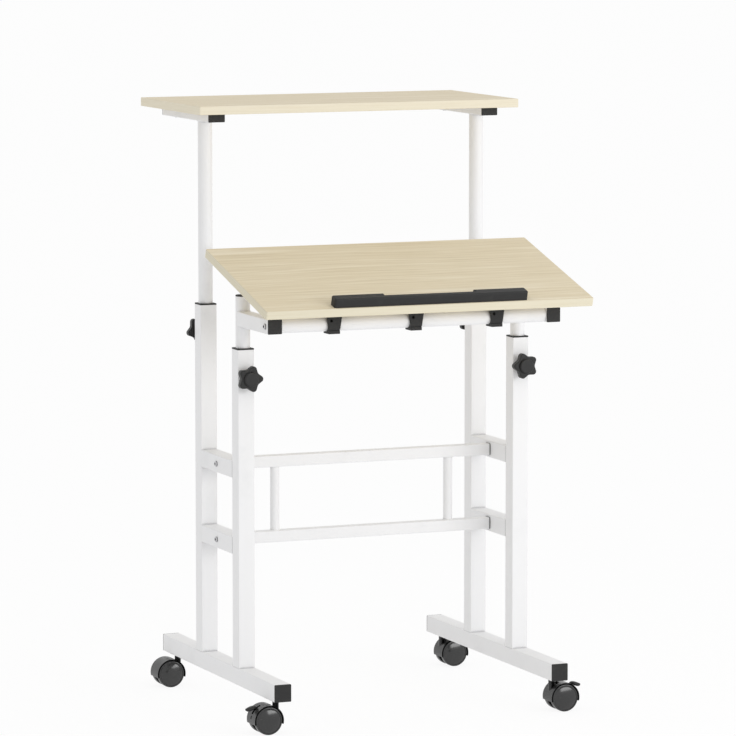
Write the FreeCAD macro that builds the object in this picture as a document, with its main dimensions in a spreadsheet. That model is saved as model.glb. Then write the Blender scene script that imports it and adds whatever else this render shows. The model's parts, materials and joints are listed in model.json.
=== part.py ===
"""Mobile sit-stand desk: a base on casters, a desktop that lifts and tilts, and a shelf that lifts.

Frame: +Z up from the floor, +X to the right of a user who stands on the -Y side. The origin lies
on the floor, midway between the four caster stems. All sizes are in millimetres and degrees.
"""
import FreeCAD, Part
import math
import os
import re

import Sketcher

Vector = FreeCAD.Vector
Rotation = FreeCAD.Rotation

LOBES = 5

# Driving sizes: alias, value, meaning
SIZES = (
    ("board_width", 600, "width of both boards"),
    ("board_depth", 298, "depth of both boards"),
    ("board_thickness", 15, "thickness of both boards"),
    ("board_corner", 3, "corner radius of a board, seen from above"),
    ("board_round", 1.2, "rounding along the edges of a board"),
    ("board_gap", 2.4, "gap between the level desktop and the shelf's front edge"),
    ("slide_tube", 25, "diameter of the height tubes"),
    ("slide_wall", 1.5, "wall of the round tubes"),
    ("slide_clearance", 0.1, "radial play of a height tube in its bushing"),
    ("bushing_wall", 1.1, "thinnest wall of a post bushing"),
    ("bushing_flange", 2.5, "height of a bushing above the post"),
    ("bushing_depth", 25, "depth of a bushing in the post"),
    ("tube_wall", 1.2, "wall of the square and flat tubes"),
    ("tube_corner", 1.6, "corner radius of the square and flat tubes"),
    ("fit_clearance", 0.1, "play of plugs, screws and pins in their holes"),
    ("post_span", 514, "left to right distance between post centres"),
    ("post_gap", 180, "front to rear distance between post centres"),
    ("front_post_height", 550, "length of a front post"),
    ("rear_post_height", 610, "length of a rear post"),
    ("foot_length", 543, "length of a foot tube without its end caps"),
    ("upper_rail_height", 342, "upper rail centre above the foot tubes"),
    ("rail_spacing", 132, "height between the two levels of rails"),
    ("rail_tube", 20, "side of the square cross rails"),
    ("spindle_tube", 16, "diameter of the spindles between the cross rails"),
    ("spindle_span", 328, "distance between the two spindles"),
    ("cap_thickness", 2, "visible thickness of end caps"),
    ("rail_flange", 1.5, "thickness of the flanges between the cross rails and the side rails"),
    ("cap_depth", 14, "depth of end caps and inserts in their tubes"),
    ("cap_round", 0.6, "rounding of the outer edges of end caps"),
    ("pivot_reach", 136, "tilt tube ahead of the desk height tubes"),
    ("pivot_rise", 52.7, "tilt tube above the front post tops at rest"),
    ("arm_tube", 25, "side of the square arms"),
    ("arm_overhang", 13, "arm ahead of the tilt tube's axis, without its end cap"),
    ("cope_trim", 4, "trim of the arm's coped end ahead of the height tube's axis"),
    ("desk_insertion", 440, "desk height tube inside the post at rest"),
    ("glide_height", 20, "height of a glide below its tube"),
    ("glide_clearance", 0.3, "gap between a glide and the inside of the post"),
    ("tilt_tube", 25, "diameter of the tilt tube"),
    ("tilt_angle", 15.75, "tilt of the desktop at rest"),
    ("board_lift", 41, "desktop underside above the tilt axis"),
    ("board_front", 72.9, "desktop front edge ahead of the tilt axis"),
    ("rest_gap", 0.3, "gap between the level desktop and the tube caps below it"),
    ("tube_cap_height", 2.4, "height of the caps on the desk height tubes"),
    ("tube_cap_round", 1, "rounding of those caps"),
    ("clip_span", 150, "distance from one clip to the next"),
    ("clip_width", 27, "width of a clip at the desktop"),
    ("clip_foot_width", 20, "width of a clip below the tilt tube"),
    ("clip_foot", 5.6, "thickness of a clip's foot below the tilt tube"),
    ("clip_foot_reach", 8.5, "rear end of that foot behind the tilt axis"),
    ("clip_groove", 1.4, "width and depth of the groove above that foot"),
    ("clip_wall", 3.6, "wall of a clip around the tilt tube"),
    ("clip_plate", 3, "thickness of a clip's front plate"),
    ("clip_gusset", 6, "legs of the gussets between that plate and the foot"),
    ("clip_web_width", 18, "width of a clip behind its front plate"),
    ("clip_clearance", 0.06, "radial play of the clips on the tilt tube"),
    ("clip_flange", 34, "reach of the screw flanges of a clip from the tilt axis"),
    ("clip_lean", 16, "lean of a clip's front plate, in degrees"),
    ("clip_web", 13, "rear of a clip's web behind the tilt axis"),
    ("clip_slot", 8, "height of the snap-in slot behind the tilt tube"),
    ("grub_offset", 5.6, "grub screw to the left of the clip's middle"),
    ("grub_rise", 38, "slope of the grub screw, in degrees"),
    ("grub_diameter", 5, "diameter of the grub screws"),
    ("grub_length", 4, "length of the grub screws"),
    ("stop_length", 354, "length of the laptop stop bar"),
    ("stop_depth", 20, "depth of the stop bar"),
    ("stop_height", 16, "height of the stop bar"),
    ("stop_setback", 3, "stop bar behind the desktop's front edge"),
    ("stop_round", 2.5, "rounding of the stop bar"),
    ("stop_end_radius", 4, "radius of the stop bar's ends, seen from above"),
    ("stop_screw_span", 236, "distance between the stop bar's screws"),
    ("scoop_length", 165, "length of the finger scoop in the stop bar"),
    ("scoop_depth", 5, "depth of the finger scoop from the top"),
    ("scoop_width", 8, "width of the finger scoop from the rear"),
    ("shelf_rise", 320, "shelf bearers above the rear post tops at rest"),
    ("shelf_insertion", 270, "shelf height tube inside the post at rest"),
    ("bearer_width", 30, "width of the flat shelf bearers"),
    ("bearer_height", 15, "height of the shelf bearers"),
    ("bearer_length", 228, "length of a shelf bearer without its end caps"),
    ("bearer_shift", 57.5, "middle of a bearer behind its height tube"),
    ("bearer_screw_span", 164, "distance between the screws of a bearer"),
    ("rail_screw", 5, "diameter of the screws in the rails and arms"),
    ("rail_screw_head", 9.5, "head diameter of those screws"),
    ("rail_screw_head_height", 2.8, "head height of those screws"),
    ("wood_screw", 4, "diameter of the wood screws"),
    ("wood_screw_head", 8, "head diameter of the wood screws"),
    ("wood_screw_head_height", 2.5, "head height of the wood screws"),
    ("screw_cover", 5, "material left above the tip of a wood screw"),
    ("socket_share", 0.5, "driver socket as a share of a screw head"),
    ("socket_sink", 0.7, "depth of a driver socket as a share of the head's height"),
    ("stud_diameter", 8, "diameter of knob studs and caster stems"),
    ("stud_gap", 0.3, "gap between a stud's tip and the height tube"),
    ("nut_width", 13, "width of the weld nuts across their flats"),
    ("nut_height", 6.5, "height of the weld nuts"),
    ("knob_drop", 48, "knob axis below its post top"),
    ("knob_diameter", 45.5, "diameter of a knob over its lobes"),
    ("knob_thickness", 11, "thickness of the lobes"),
    ("knob_waist", 33.5, "diameter between the hollows of a knob"),
    ("knob_corner", 5.6, "radius of the lobes' tips, seen from outside"),
    ("knob_hollow", 7, "radius of the hollows between the lobes"),
    ("knob_round", 2, "rounding of the lobes"),
    ("knob_hub", 26, "diameter of the domed hub"),
    ("knob_dome", 4.5, "height of the domed hub above the lobes"),
    ("knob_dome_round", 2.6, "rounding of the domed hub"),
    ("knob_collar", 19, "diameter of the collar behind the lobes"),
    ("knob_collar_length", 6, "length of that collar"),
    ("knob_gap", 0.5, "gap between the collar and the weld nut"),
    ("wheel_diameter", 48, "diameter of the caster wheels"),
    ("wheel_tread", 11.5, "width of a wheel's tread"),
    ("wheel_dome", 3.5, "height of a wheel's domed face"),
    ("wheel_edge", 1.8, "bevel between tread and faces"),
    ("wheel_bore_depth", 10, "depth of a wheel's bore"),
    ("web_gap", 14, "distance between the two wheels of a caster"),
    ("web_clearance", 0.8, "gap between the caster's web and a wheel"),
    ("hood_clearance", 0.8, "gap between a wheel and the hood"),
    ("hood_wall", 1.6, "thickness of the hood"),
    ("hood_width", 38, "width of the hood over both wheels"),
    ("hood_drop", 6, "hood's lower edge below the axle"),
    ("valley_depth", 11, "depth of the valley between the hood's arches, above the stem's boss"),
    ("valley_end", 5.2, "end of that valley ahead of the axle"),
    ("hub_diameter", 16, "diameter of the web around the axle"),
    ("stem_gap", 7.6, "gap between the hood and the foot tube"),
    ("boss_wall", 1.45, "wall of the boss around the stem"),
    ("stem_depth", 24, "length of the stem in its boss"),
    ("stem_flange", 14, "diameter of the stem's flange"),
    ("stem_flange_height", 2, "height of the stem's flange"),
    ("stem_play", 0.3, "gap between the boss and the stem's flange"),
    ("stem_inset", 35, "stem behind the end of the foot tube with its cap"),
    ("trail", 18.5, "axle behind the stem"),
    ("axle_diameter", 6, "diameter of the axles"),
    ("running_clearance", 0.05, "radial play of wheels, levers and stems on their pins"),
    ("axle_end_gap", 0.3, "gap between an axle's end and the wheel"),
    ("lever_width", 5.6, "width of the brake lever in its slot"),
    ("lever_play", 0.4, "gap on each side of the lever in its slot"),
    ("lever_pin", 3, "diameter of the lever's trunnions"),
    ("lever_hub", 7, "diameter of the lever's hub"),
    ("lever_inset", 6.8, "lever's pivot inside the hood's outer surface"),
    ("lever_slope", 49, "direction from the axle to the lever's pivot, in degrees above level"),
    ("paddle_length", 15.5, "length of the lever's paddle"),
    ("paddle_width", 13, "width of the lever's paddle"),
    ("paddle_thickness", 5.4, "thickness of the lever's paddle"),
    ("paddle_reach", 8.1, "start of the paddle behind the lever's pivot"),
    ("paddle_height", 5.6, "underside of the paddle above the lever's pivot, at its start"),
    ("paddle_slope", 18, "droop of the lever's paddle, in degrees"),
    ("paddle_corner", 5.2, "radius of the paddle's corners, seen from above"),
    ("paddle_round", 1.8, "rounding of the paddle"),
    ("window_width", 3.6, "width of the brake window below the lever"),
    ("window_height", 5.6, "height of the brake window"),
    ("window_rise", 2.4, "lower edge of the brake window above the axle"),
    ("window_depth", 5, "depth of the brake window from the hood's outer radius"),
)

# Sizes and places that follow from the driving sizes: alias, formula, meaning
DERIVED = (
    ("frame_tube", "slide_tube + 2 * (slide_clearance + bushing_wall + fit_clearance + tube_wall)",
     "side of posts, feet and side rails"),
    ("post_inside", "frame_tube - 2 * tube_wall", "inner side of those tubes"),
    ("inside_corner", "max(tube_corner - tube_wall; tube_corner / 4)",
     "corner radius inside the square and flat tubes"),
    ("post_x", "post_span / 2", "post centres, left and right of the middle"),
    ("post_y", "post_gap / 2", "post centres, front and rear of the middle"),
    ("hood_radius", "wheel_diameter / 2 + hood_clearance + hood_wall", "outer radius of a hood"),
    ("hood_inside", "hood_radius - hood_wall", "inner radius of a hood"),
    ("web_width", "web_gap - 2 * web_clearance", "width of the caster's web"),
    ("axle_z", "wheel_diameter / 2", "axle height"),
    ("foot_z", "axle_z + hood_radius + stem_gap", "underside of the foot tubes"),
    ("post_z", "foot_z + frame_tube", "lower end of the posts"),
    ("front_top", "post_z + front_post_height", "top of the front posts"),
    ("rear_top", "post_z + rear_post_height", "top of the rear posts"),
    ("rail_z", "post_z + upper_rail_height", "centre of the upper rails"),
    ("rail_inside", "post_span - frame_tube", "distance between the side rails"),
    ("stem_y", "foot_length / 2 + cap_thickness - stem_inset", "caster stems, front and rear"),
    ("pivot_y", "-post_y - pivot_reach", "tilt axis, front to rear"),
    ("pivot_z", "front_top + pivot_rise", "tilt axis height"),
    ("desk_tube_top", "pivot_z + board_lift - rest_gap - tube_cap_height", "top of the desk tubes"),
    ("desk_tube_end", "front_top - desk_insertion", "lower end of the desk tubes"),
    ("bearer_z", "rear_top + shelf_rise", "underside of the shelf bearers"),
    ("shelf_tube_end", "rear_top - shelf_insertion", "lower end of the shelf tubes"),
    ("shelf_z", "bearer_z + bearer_height", "underside of the shelf"),
    ("shelf_front", "pivot_y + board_depth - board_front + board_gap", "front edge of the shelf"),
    ("slide_bore", "slide_tube - 2 * slide_wall", "bore of the height tubes"),
    ("stud_start", "slide_tube / 2 + stud_gap - frame_tube / 2", "stud's tip above the face of its post"),
    ("knob_start", "nut_height + knob_gap", "knob above the face of its post"),
    ("lobe_start", "knob_start + knob_collar_length", "lobes above the face of the post"),
    ("knob_half_step", "180 deg / %d" % LOBES, "angle from a lobe to the next hollow"),
    ("knob_tip_centre", "knob_diameter / 2 - knob_corner", "centre of a tip's rounding from the knob axis"),
    ("knob_hollow_centre", "knob_waist / 2 + knob_hollow", "centre of a hollow from the knob axis"),
    ("knob_across", "knob_hollow_centre * sin(knob_half_step)", "that centre beside the lobe's middle line"),
    ("knob_along", "knob_hollow_centre * cos(knob_half_step) - knob_tip_centre",
     "that centre beyond the tip's, along the lobe"),
    ("knob_flank", "atan2(knob_across; knob_along) - "
     "acos((knob_corner + knob_hollow) / sqrt(knob_across ^ 2 + knob_along ^ 2))",
     "direction square to a lobe's flank"),
    ("knob_flank_reach", "knob_tip_centre * cos(knob_flank) + knob_corner", "flank from the knob axis"),
    ("knob_tip_point", "knob_flank_reach / cos(knob_flank)", "meeting of a lobe's flanks"),
    ("knob_hollow_point", "knob_flank_reach / cos(knob_half_step - knob_flank)",
     "meeting of two lobes' flanks"),
    ("clip_radius", "tilt_tube / 2 + clip_clearance + clip_wall", "outer radius of a clip"),
    ("clip_screw_y", "(clip_radius + clip_flange) / 2", "clip screws from the tilt axis"),
    ("stop_y", "stop_setback + stop_depth / 2 - board_front", "middle of the stop bar"),
    ("stem_boss", "stud_diameter + 2 * (running_clearance + boss_wall)", "diameter of a stem's boss"),
    ("lever_pivot_x", "(hood_radius - lever_inset) * cos(lever_slope)", "lever's pivot behind the axle"),
    ("lever_pivot_z", "(hood_radius - lever_inset) * sin(lever_slope)", "lever's pivot above the axle"),
    ("paddle_start", "lever_pivot_x + paddle_reach", "start of the paddle behind the axle"),
    ("paddle_rise", "lever_pivot_z + paddle_height", "underside of the paddle above the axle"),
)

ALIAS_WORDS = re.compile(r"\b(" + "|".join(row[0] for row in SIZES + DERIVED) + r")\b")
SIDES = (("left", -1), ("right", 1))
ENDS = (("front", -1), ("rear", 1))
HEX_CORNERS = 6

# Turns from a piece's own +Z to the way it points on the desk
UPRIGHT = Rotation()
UPSIDE_DOWN = Rotation(Vector(1, 0, 0), 180)
TO_REAR = Rotation(Vector(1, 0, 0), -90)
TO_FRONT = Rotation(Vector(1, 0, 0), 90)
TO_RIGHT = Rotation(Vector(0, 1, 0), 90)
TO_LEFT = Rotation(Vector(0, 1, 0), -90)

doc = FreeCAD.newDocument("sit_stand_desk")
sheet = doc.addObject("Spreadsheet::Sheet", "sizes")


def fill_sheet():
    """Write the driving sizes as plain numbers and the rest as formulas."""
    rows = [(alias, str(number), note) for alias, number, note in SIZES]
    rows += [(alias, "=" + text, note) for alias, text, note in DERIVED]
    for row, (alias, text, note) in enumerate(rows, start=1):
        sheet.set("A%d" % row, note)
        sheet.set("B%d" % row, text)
        sheet.setAlias("B%d" % row, alias)
    doc.recompute()


def formula(text):
    """Point the alias words of a formula at the sheet."""
    return ALIAS_WORDS.sub(r"sizes.\g<0>", text)


def value(text):
    """Present value of a formula."""
    return float(sheet.evalExpression(formula(text)))


def bind(item, prop, text):
    """Drive one property of an object by a formula."""
    item.setExpression(prop, formula(text))


def place(item, x="0", y="0", z="0", turn=UPRIGHT):
    """Put an object where three formulas say, turned as a whole."""
    item.Placement = FreeCAD.Placement(Vector(), turn)
    for axis, text in zip("xyz", (x, y, z)):
        bind(item, "Placement.Base." + axis, text)
    return item


def place_leaning(item, angle, x="0", y="0", z="0", axis=Vector(1, 0, 0)):
    """Put an object where three formulas say, turned about an axis by a fourth."""
    place(item, x, y, z, Rotation(axis, value(angle)))
    bind(item, "Placement.Rotation.Angle", angle)
    return item


def new_body(name):
    """An empty part-design body."""
    return doc.addObject("PartDesign::Body", name)


def sketch(body, plane, offset="0"):
    """A sketch on one of the body's own origin planes, moved along the plane's normal."""
    item = body.newObject("Sketcher::SketchObject", body.Name + "_sketch")
    support = [feature for feature in body.Origin.OriginFeatures if feature.Role == plane]
    item.AttachmentSupport = [(support[0], "")]
    item.MapMode = "FlatFace"
    bind(item, "AttachmentOffset.Base.z", offset)
    return item


def dimension(item, kind, where, text):
    """Add one dimension to a sketch and drive it by a formula."""
    index = item.addConstraint(Sketcher.Constraint(kind, *where, value(text)))
    name = "size_%d" % index
    item.renameConstraint(index, name)
    bind(item, "Constraints." + name, text)


def pin_point(item, geometry, point, x, y):
    """Hold a sketch point at two formulas from the sketch's origin."""
    dimension(item, "DistanceX", (-1, 1, geometry, point), x)
    dimension(item, "DistanceY", (-1, 1, geometry, point), y)


def outline(item, points):
    """Draw a closed outline of straight lines through the points."""
    first = item.GeometryCount
    count = len(points)
    corners = [Vector(value(x), value(y), 0) for x, y in points]
    for index in range(count):
        item.addGeometry(Part.LineSegment(corners[index], corners[(index + 1) % count]))
    for index in range(count):
        following = first + (index + 1) % count
        item.addConstraint(Sketcher.Constraint("Coincident", first + index, 2, following, 1))
        pin_point(item, first + index, 1, *points[index])


def rectangle(item, width, height, x="0", y="0"):
    """Draw a rectangle around a centre."""
    left, right = ("%s - (%s) / 2" % (x, width), "%s + (%s) / 2" % (x, width))
    low, high = ("%s - (%s) / 2" % (y, height), "%s + (%s) / 2" % (y, height))
    outline(item, [(left, low), (right, low), (right, high), (left, high)])


def circle(item, diameter, x="0", y="0"):
    """Draw a circle around a centre."""
    shape = Part.Circle(Vector(value(x), value(y), 0), Vector(0, 0, 1), value(diameter) / 2)
    index = item.addGeometry(shape)
    pin_point(item, index, 3, x, y)
    dimension(item, "Diameter", (index,), diameter)


def hexagon(item, flats):
    """Draw a hexagon of a width across its flats, around the sketch's origin."""
    points = []
    for corner in range(HEX_CORNERS):
        angle = math.radians(60 * corner)
        reach = "(%s) / %.9f" % (flats, 2 * math.cos(math.radians(30)))
        points.append(("%s * %.9f" % (reach, math.cos(angle)), "%s * %.9f" % (reach, math.sin(angle))))
    outline(item, points)


def pad(body, profile, length, both_ways=False, reverse=False):
    """Raise a sketch into material."""
    item = body.newObject("PartDesign::Pad", body.Name + "_pad")
    item.Profile = profile
    item.SideType = "Symmetric" if both_ways else "One side"
    item.Reversed = reverse
    bind(item, "Length", length)
    return item


def pocket(body, profile, length=None, both_ways=False, reverse=False):
    """Cut a sketch out of the material, all the way through where no length is given."""
    base = body.Tip
    item = body.newObject("PartDesign::Pocket", body.Name + "_pocket")
    item.Profile = profile
    item.SideType = "Symmetric" if both_ways else "One side"
    item.Reversed = reverse
    if length is None:
        item.Type = "ThroughAll"
    else:
        bind(item, "Length", length)
    doc.recompute()
    if not item.Shape.Volume < base.Shape.Volume:
        raise RuntimeError("nothing is cut in " + body.Name)
    return item


def revolve(body, profile):
    """Turn a sketch once around its own vertical axis."""
    item = body.newObject("PartDesign::Revolution", body.Name + "_revolution")
    item.Profile = profile
    item.ReferenceAxis = (profile, ["V_Axis"])
    item.Angle = 360
    return item


def round_edges(body, radius, chosen):
    """Fillet the edges of the body's last feature that a test chooses."""
    doc.recompute()
    base = body.Tip
    edges = ["Edge%d" % index for index, edge in enumerate(base.Shape.Edges, start=1) if chosen(edge)]
    item = body.newObject("PartDesign::Fillet", body.Name + "_fillet")
    item.Base = (base, edges)
    bind(item, "Radius", radius)
    return item


def standing(edge):
    """True for a straight edge along Z."""
    box = edge.BoundBox
    return max(box.XLength, box.YLength) < 1e-4 < box.ZLength


def standing_at(width):
    """A test for edges along Z on the sides of a width around the middle."""
    side = value(width) / 2
    return lambda edge: standing(edge) and abs(abs(edge.CenterOfMass.x) - side) < 1e-4


def standing_around(reach):
    """A test for edges along Z at a distance from the Z axis."""
    distance = value(reach)

    def chosen(edge):
        middle = edge.CenterOfMass
        return standing(edge) and abs(math.hypot(middle.x, middle.y) - distance) < 1e-4

    return chosen


def level_at(height):
    """A test for edges that lie flat at a height."""
    level = value(height)
    return lambda edge: abs(edge.BoundBox.ZMin - level) < 1e-4 and abs(edge.BoundBox.ZMax - level) < 1e-4


def primitive(kind, name, turn=UPRIGHT, x="0", y="0", z="0", **sizes):
    """A Part primitive whose sizes are formulas."""
    item = doc.addObject("Part::" + kind, name)
    for prop, text in sizes.items():
        bind(item, prop, text)
    return place(item, x, y, z, turn)


def box(name, low, high):
    """A block between two corners."""
    spans = ["(%s) - (%s)" % (top, bottom) for bottom, top in zip(low, high)]
    return primitive("Box", name, x=low[0], y=low[1], z=low[2],
                     Length=spans[0], Width=spans[1], Height=spans[2])


def rod_along_y(name, diameter, length, x="0", z="0"):
    """A round rod along Y, centred on the XZ plane."""
    return primitive("Cylinder", name, TO_REAR, x, "-(%s) / 2" % length, z,
                     Radius="(%s) / 2" % diameter, Height=length)


def fuse(name, pieces):
    """Join overlapping pieces into one solid."""
    item = doc.addObject("Part::MultiFuse", name)
    item.Shapes = pieces
    item.Refine = True
    return item


def cut(name, base, tool):
    """Cut one piece by another."""
    item = doc.addObject("Part::Cut", name)
    item.Base = base
    item.Tool = tool
    item.Refine = True
    return item


def copy_of(master, x="0", y="0", z="0", turn=UPRIGHT):
    """One more copy of a piece, at a place of its own."""
    link = doc.addObject("App::Link", master.Name + "_copy")
    link.LinkedObject = master
    link.LinkTransform = True
    return place(link, x, y, z, turn)


def group(name, pieces):
    """Like pieces that share one node."""
    item = doc.addObject("Part::Compound", name)
    item.Links = pieces
    return item


def flat_tube(name, width, height, length):
    """A rectangular tube from its origin along +Z."""
    body = new_body(name)
    section = sketch(body, "XY_Plane")
    inside = " - 2 * tube_wall"
    rectangle(section, width, height)
    rectangle(section, width + inside, height + inside)
    pad(body, section, length)
    round_edges(body, "tube_corner", standing_at(width))
    round_edges(body, "inside_corner", standing_at(width + inside))
    return body


def round_tube(name, diameter, length):
    """A round tube from its origin along +Z."""
    body = new_body(name)
    section = sketch(body, "XY_Plane")
    circle(section, diameter)
    circle(section, diameter + " - 2 * slide_wall")
    pad(body, section, length)
    return body


def drill(body, diameter, along, plane="XZ_Plane", both_walls=False, reverse=False):
    """Drill the wall of a tube that lies along Z, at right angles to a plane through its axis."""
    hole = sketch(body, plane)
    circle(hole, diameter, "0", along)
    return pocket(body, hole, both_ways=both_walls, reverse=reverse)


def flat_plug(name, width, height, depth="cap_depth"):
    """An end plug of a rectangular tube; its plate stands above the origin, its stem below."""
    body = new_body(name)
    plate = sketch(body, "XY_Plane")
    rectangle(plate, width, height)
    pad(body, plate, "cap_thickness")
    stem = sketch(body, "XY_Plane")
    inside = " - 2 * (tube_wall + fit_clearance)"
    rectangle(stem, width + inside, height + inside)
    pad(body, stem, depth, reverse=True)
    round_edges(body, "tube_corner", standing_at(width))
    round_edges(body, "inside_corner", standing_at(width + inside))
    round_edges(body, "cap_round", level_at("cap_thickness"))
    return body


def round_plug(name, tube, height, rounding):
    """An end plug of a round tube; its plate stands above the origin, its stem below."""
    body = new_body(name)
    plate = sketch(body, "XY_Plane")
    circle(plate, tube)
    pad(body, plate, height)
    stem = sketch(body, "XY_Plane")
    circle(stem, tube + " - 2 * (slide_wall + fit_clearance)")
    pad(body, stem, "cap_depth", reverse=True)
    round_edges(body, rounding, level_at(height))
    return body


def screw_insert(name, draw, width):
    """A bored insert that ends flush with its tube; it lies below the origin."""
    body = new_body(name)
    section = sketch(body, "XY_Plane")
    draw(section, width)
    circle(section, "rail_screw + 2 * fit_clearance")
    pad(body, section, "cap_depth", reverse=True)
    return body


def screw(name, diameter, head, head_height, length):
    """A socket screw; the head stands above the origin and the shank below."""
    body = new_body(name)
    top = sketch(body, "XY_Plane")
    circle(top, head)
    pad(body, top, head_height)
    shank = sketch(body, "XY_Plane")
    circle(shank, diameter)
    pad(body, shank, length, reverse=True)
    socket = sketch(body, "XY_Plane", head_height)
    hexagon(socket, head + " * socket_share")
    pocket(body, socket, head_height + " * socket_sink")
    round_edges(body, head_height + " / 4",
                lambda edge: level_at(head_height)(edge) and "Circle" in edge.Curve.TypeId)
    return body


def weld_nut():
    """A hexagon nut, from its origin along +Z."""
    body = new_body("weld_nut")
    blank = sketch(body, "XY_Plane")
    hexagon(blank, "nut_width")
    circle(blank, "stud_diameter + 2 * running_clearance")
    pad(body, blank, "nut_height")
    return body


def base_tubes():
    """Feet, posts, rails and spindles: the welded and screwed base."""
    nodes = []
    for side, sign in SIDES:
        foot = flat_tube(side + "_foot_tube", "frame_tube", "frame_tube", "foot_length")
        for end_sign in (-1, 1):
            drill(foot, "stud_diameter + 2 * fit_clearance", "foot_length / 2 + %d * stem_y" % end_sign)
        nodes.append(place(foot, "%d * post_x" % sign, "-foot_length / 2", "foot_z + frame_tube / 2",
                           TO_REAR))
        for end, end_sign in ENDS:
            height = end + "_post_height"
            post = flat_tube("%s_%s_post" % (side, end), "frame_tube", "frame_tube", height)
            drill(post, "stud_diameter + 2 * stud_gap", height + " - knob_drop", reverse=end_sign < 0)
            nodes.append(place(post, "%d * post_x" % sign, "%d * post_y" % end_sign, "post_z"))
    side_rail = flat_tube("side_rail", "frame_tube", "frame_tube", "post_gap - frame_tube")
    drill(side_rail, "rail_screw + 2 * fit_clearance", "(post_gap - frame_tube) / 2", plane="YZ_Plane",
          both_walls=True)
    cross_rail = flat_tube("cross_rail", "rail_tube", "rail_tube", "rail_inside - 2 * rail_flange")
    insert_side = "rail_tube - 2 * (tube_wall + fit_clearance)"
    plug = screw_insert("cross_rail_plug", lambda item, side: rectangle(item, side, side), insert_side)
    round_edges(plug, "inside_corner", standing_at(insert_side))
    flange = sketch(plug, "XY_Plane")
    rectangle(flange, "rail_tube", "rail_tube")
    circle(flange, "rail_screw + 2 * fit_clearance")
    pad(plug, flange, "rail_flange")
    round_edges(plug, "tube_corner", standing_at("rail_tube"))
    bolt = screw("cross_rail_screw", "rail_screw", "rail_screw_head", "rail_screw_head_height",
                 "frame_tube + cap_depth - rail_screw_head_height")
    rails, crosses, plugs, bolts = [], [], [], []
    for level in ("rail_z", "rail_z - rail_spacing"):
        crosses.append(copy_of(cross_rail, "rail_flange - rail_inside / 2", "0", level, TO_RIGHT))
        for sign, turn in ((-1, TO_LEFT), (1, TO_RIGHT)):
            rails.append(copy_of(side_rail, "%d * post_x" % sign, "frame_tube / 2 - post_y", level, TO_REAR))
            plugs.append(copy_of(plug, "%d * (rail_inside / 2 - rail_flange)" % sign, "0", level, turn))
            bolts.append(copy_of(bolt, "%d * (post_x + frame_tube / 2)" % sign, "0", level, turn))
    spindle = round_tube("spindle", "spindle_tube", "rail_spacing - rail_tube")
    spindles = [copy_of(spindle, "%d * spindle_span / 2" % sign, "0",
                        "rail_z - rail_spacing + rail_tube / 2") for sign in (-1, 1)]
    nodes += [group("side_rails", rails), group("cross_rails", crosses), group("cross_rail_plugs", plugs),
              group("cross_rail_screws", bolts), group("cross_rail_spindles", spindles)]
    return nodes


def base_fittings():
    """Foot caps, post bushings, weld nuts and caster stems."""
    cap = flat_plug("foot_end_cap", "frame_tube", "frame_tube")
    bushing = new_body("post_bushing")
    flange = sketch(bushing, "XY_Plane")
    rectangle(flange, "frame_tube", "frame_tube")
    pad(bushing, flange, "bushing_flange")
    insert = sketch(bushing, "XY_Plane")
    insert_side = "post_inside - 2 * fit_clearance"
    rectangle(insert, insert_side, insert_side)
    pad(bushing, insert, "bushing_depth", reverse=True)
    round_edges(bushing, "tube_corner", standing_at("frame_tube"))
    round_edges(bushing, "inside_corner", standing_at(insert_side))
    round_edges(bushing, "cap_round", level_at("bushing_flange"))
    bore = sketch(bushing, "XY_Plane", "bushing_flange")
    circle(bore, "slide_tube + 2 * slide_clearance")
    pocket(bushing, bore)

    stem = new_body("caster_stem")
    pin = sketch(stem, "XY_Plane")
    circle(pin, "stud_diameter")
    pad(stem, pin, "stem_flange_height + stem_depth", reverse=True)
    thread = sketch(stem, "XY_Plane")
    circle(thread, "stud_diameter")
    pad(stem, thread, "tube_wall + nut_height")
    collar = sketch(stem, "XY_Plane")
    circle(collar, "stem_flange")
    pad(stem, collar, "stem_flange_height", reverse=True)

    nut = weld_nut()
    caps, bushings, nuts, stems = [], [], [], []
    for sign in (-1, 1):
        x = "%d * post_x" % sign
        for (end, end_sign), turn in zip(ENDS, (TO_FRONT, TO_REAR)):
            caps.append(copy_of(cap, x, "%d * foot_length / 2" % end_sign, "foot_z + frame_tube / 2", turn))
            bushings.append(copy_of(bushing, x, "%d * post_y" % end_sign, end + "_top"))
            nuts.append(copy_of(nut, x, "%d * (post_y + frame_tube / 2)" % end_sign,
                                end + "_top - knob_drop", turn))
            nuts.append(copy_of(nut, x, "%d * stem_y" % end_sign, "foot_z + tube_wall"))
            stems.append(copy_of(stem, x, "%d * stem_y" % end_sign, "foot_z"))
    return [group("foot_end_caps", caps), group("post_bushings", bushings),
            group("weld_nuts", nuts), group("caster_stems", stems)]


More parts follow.
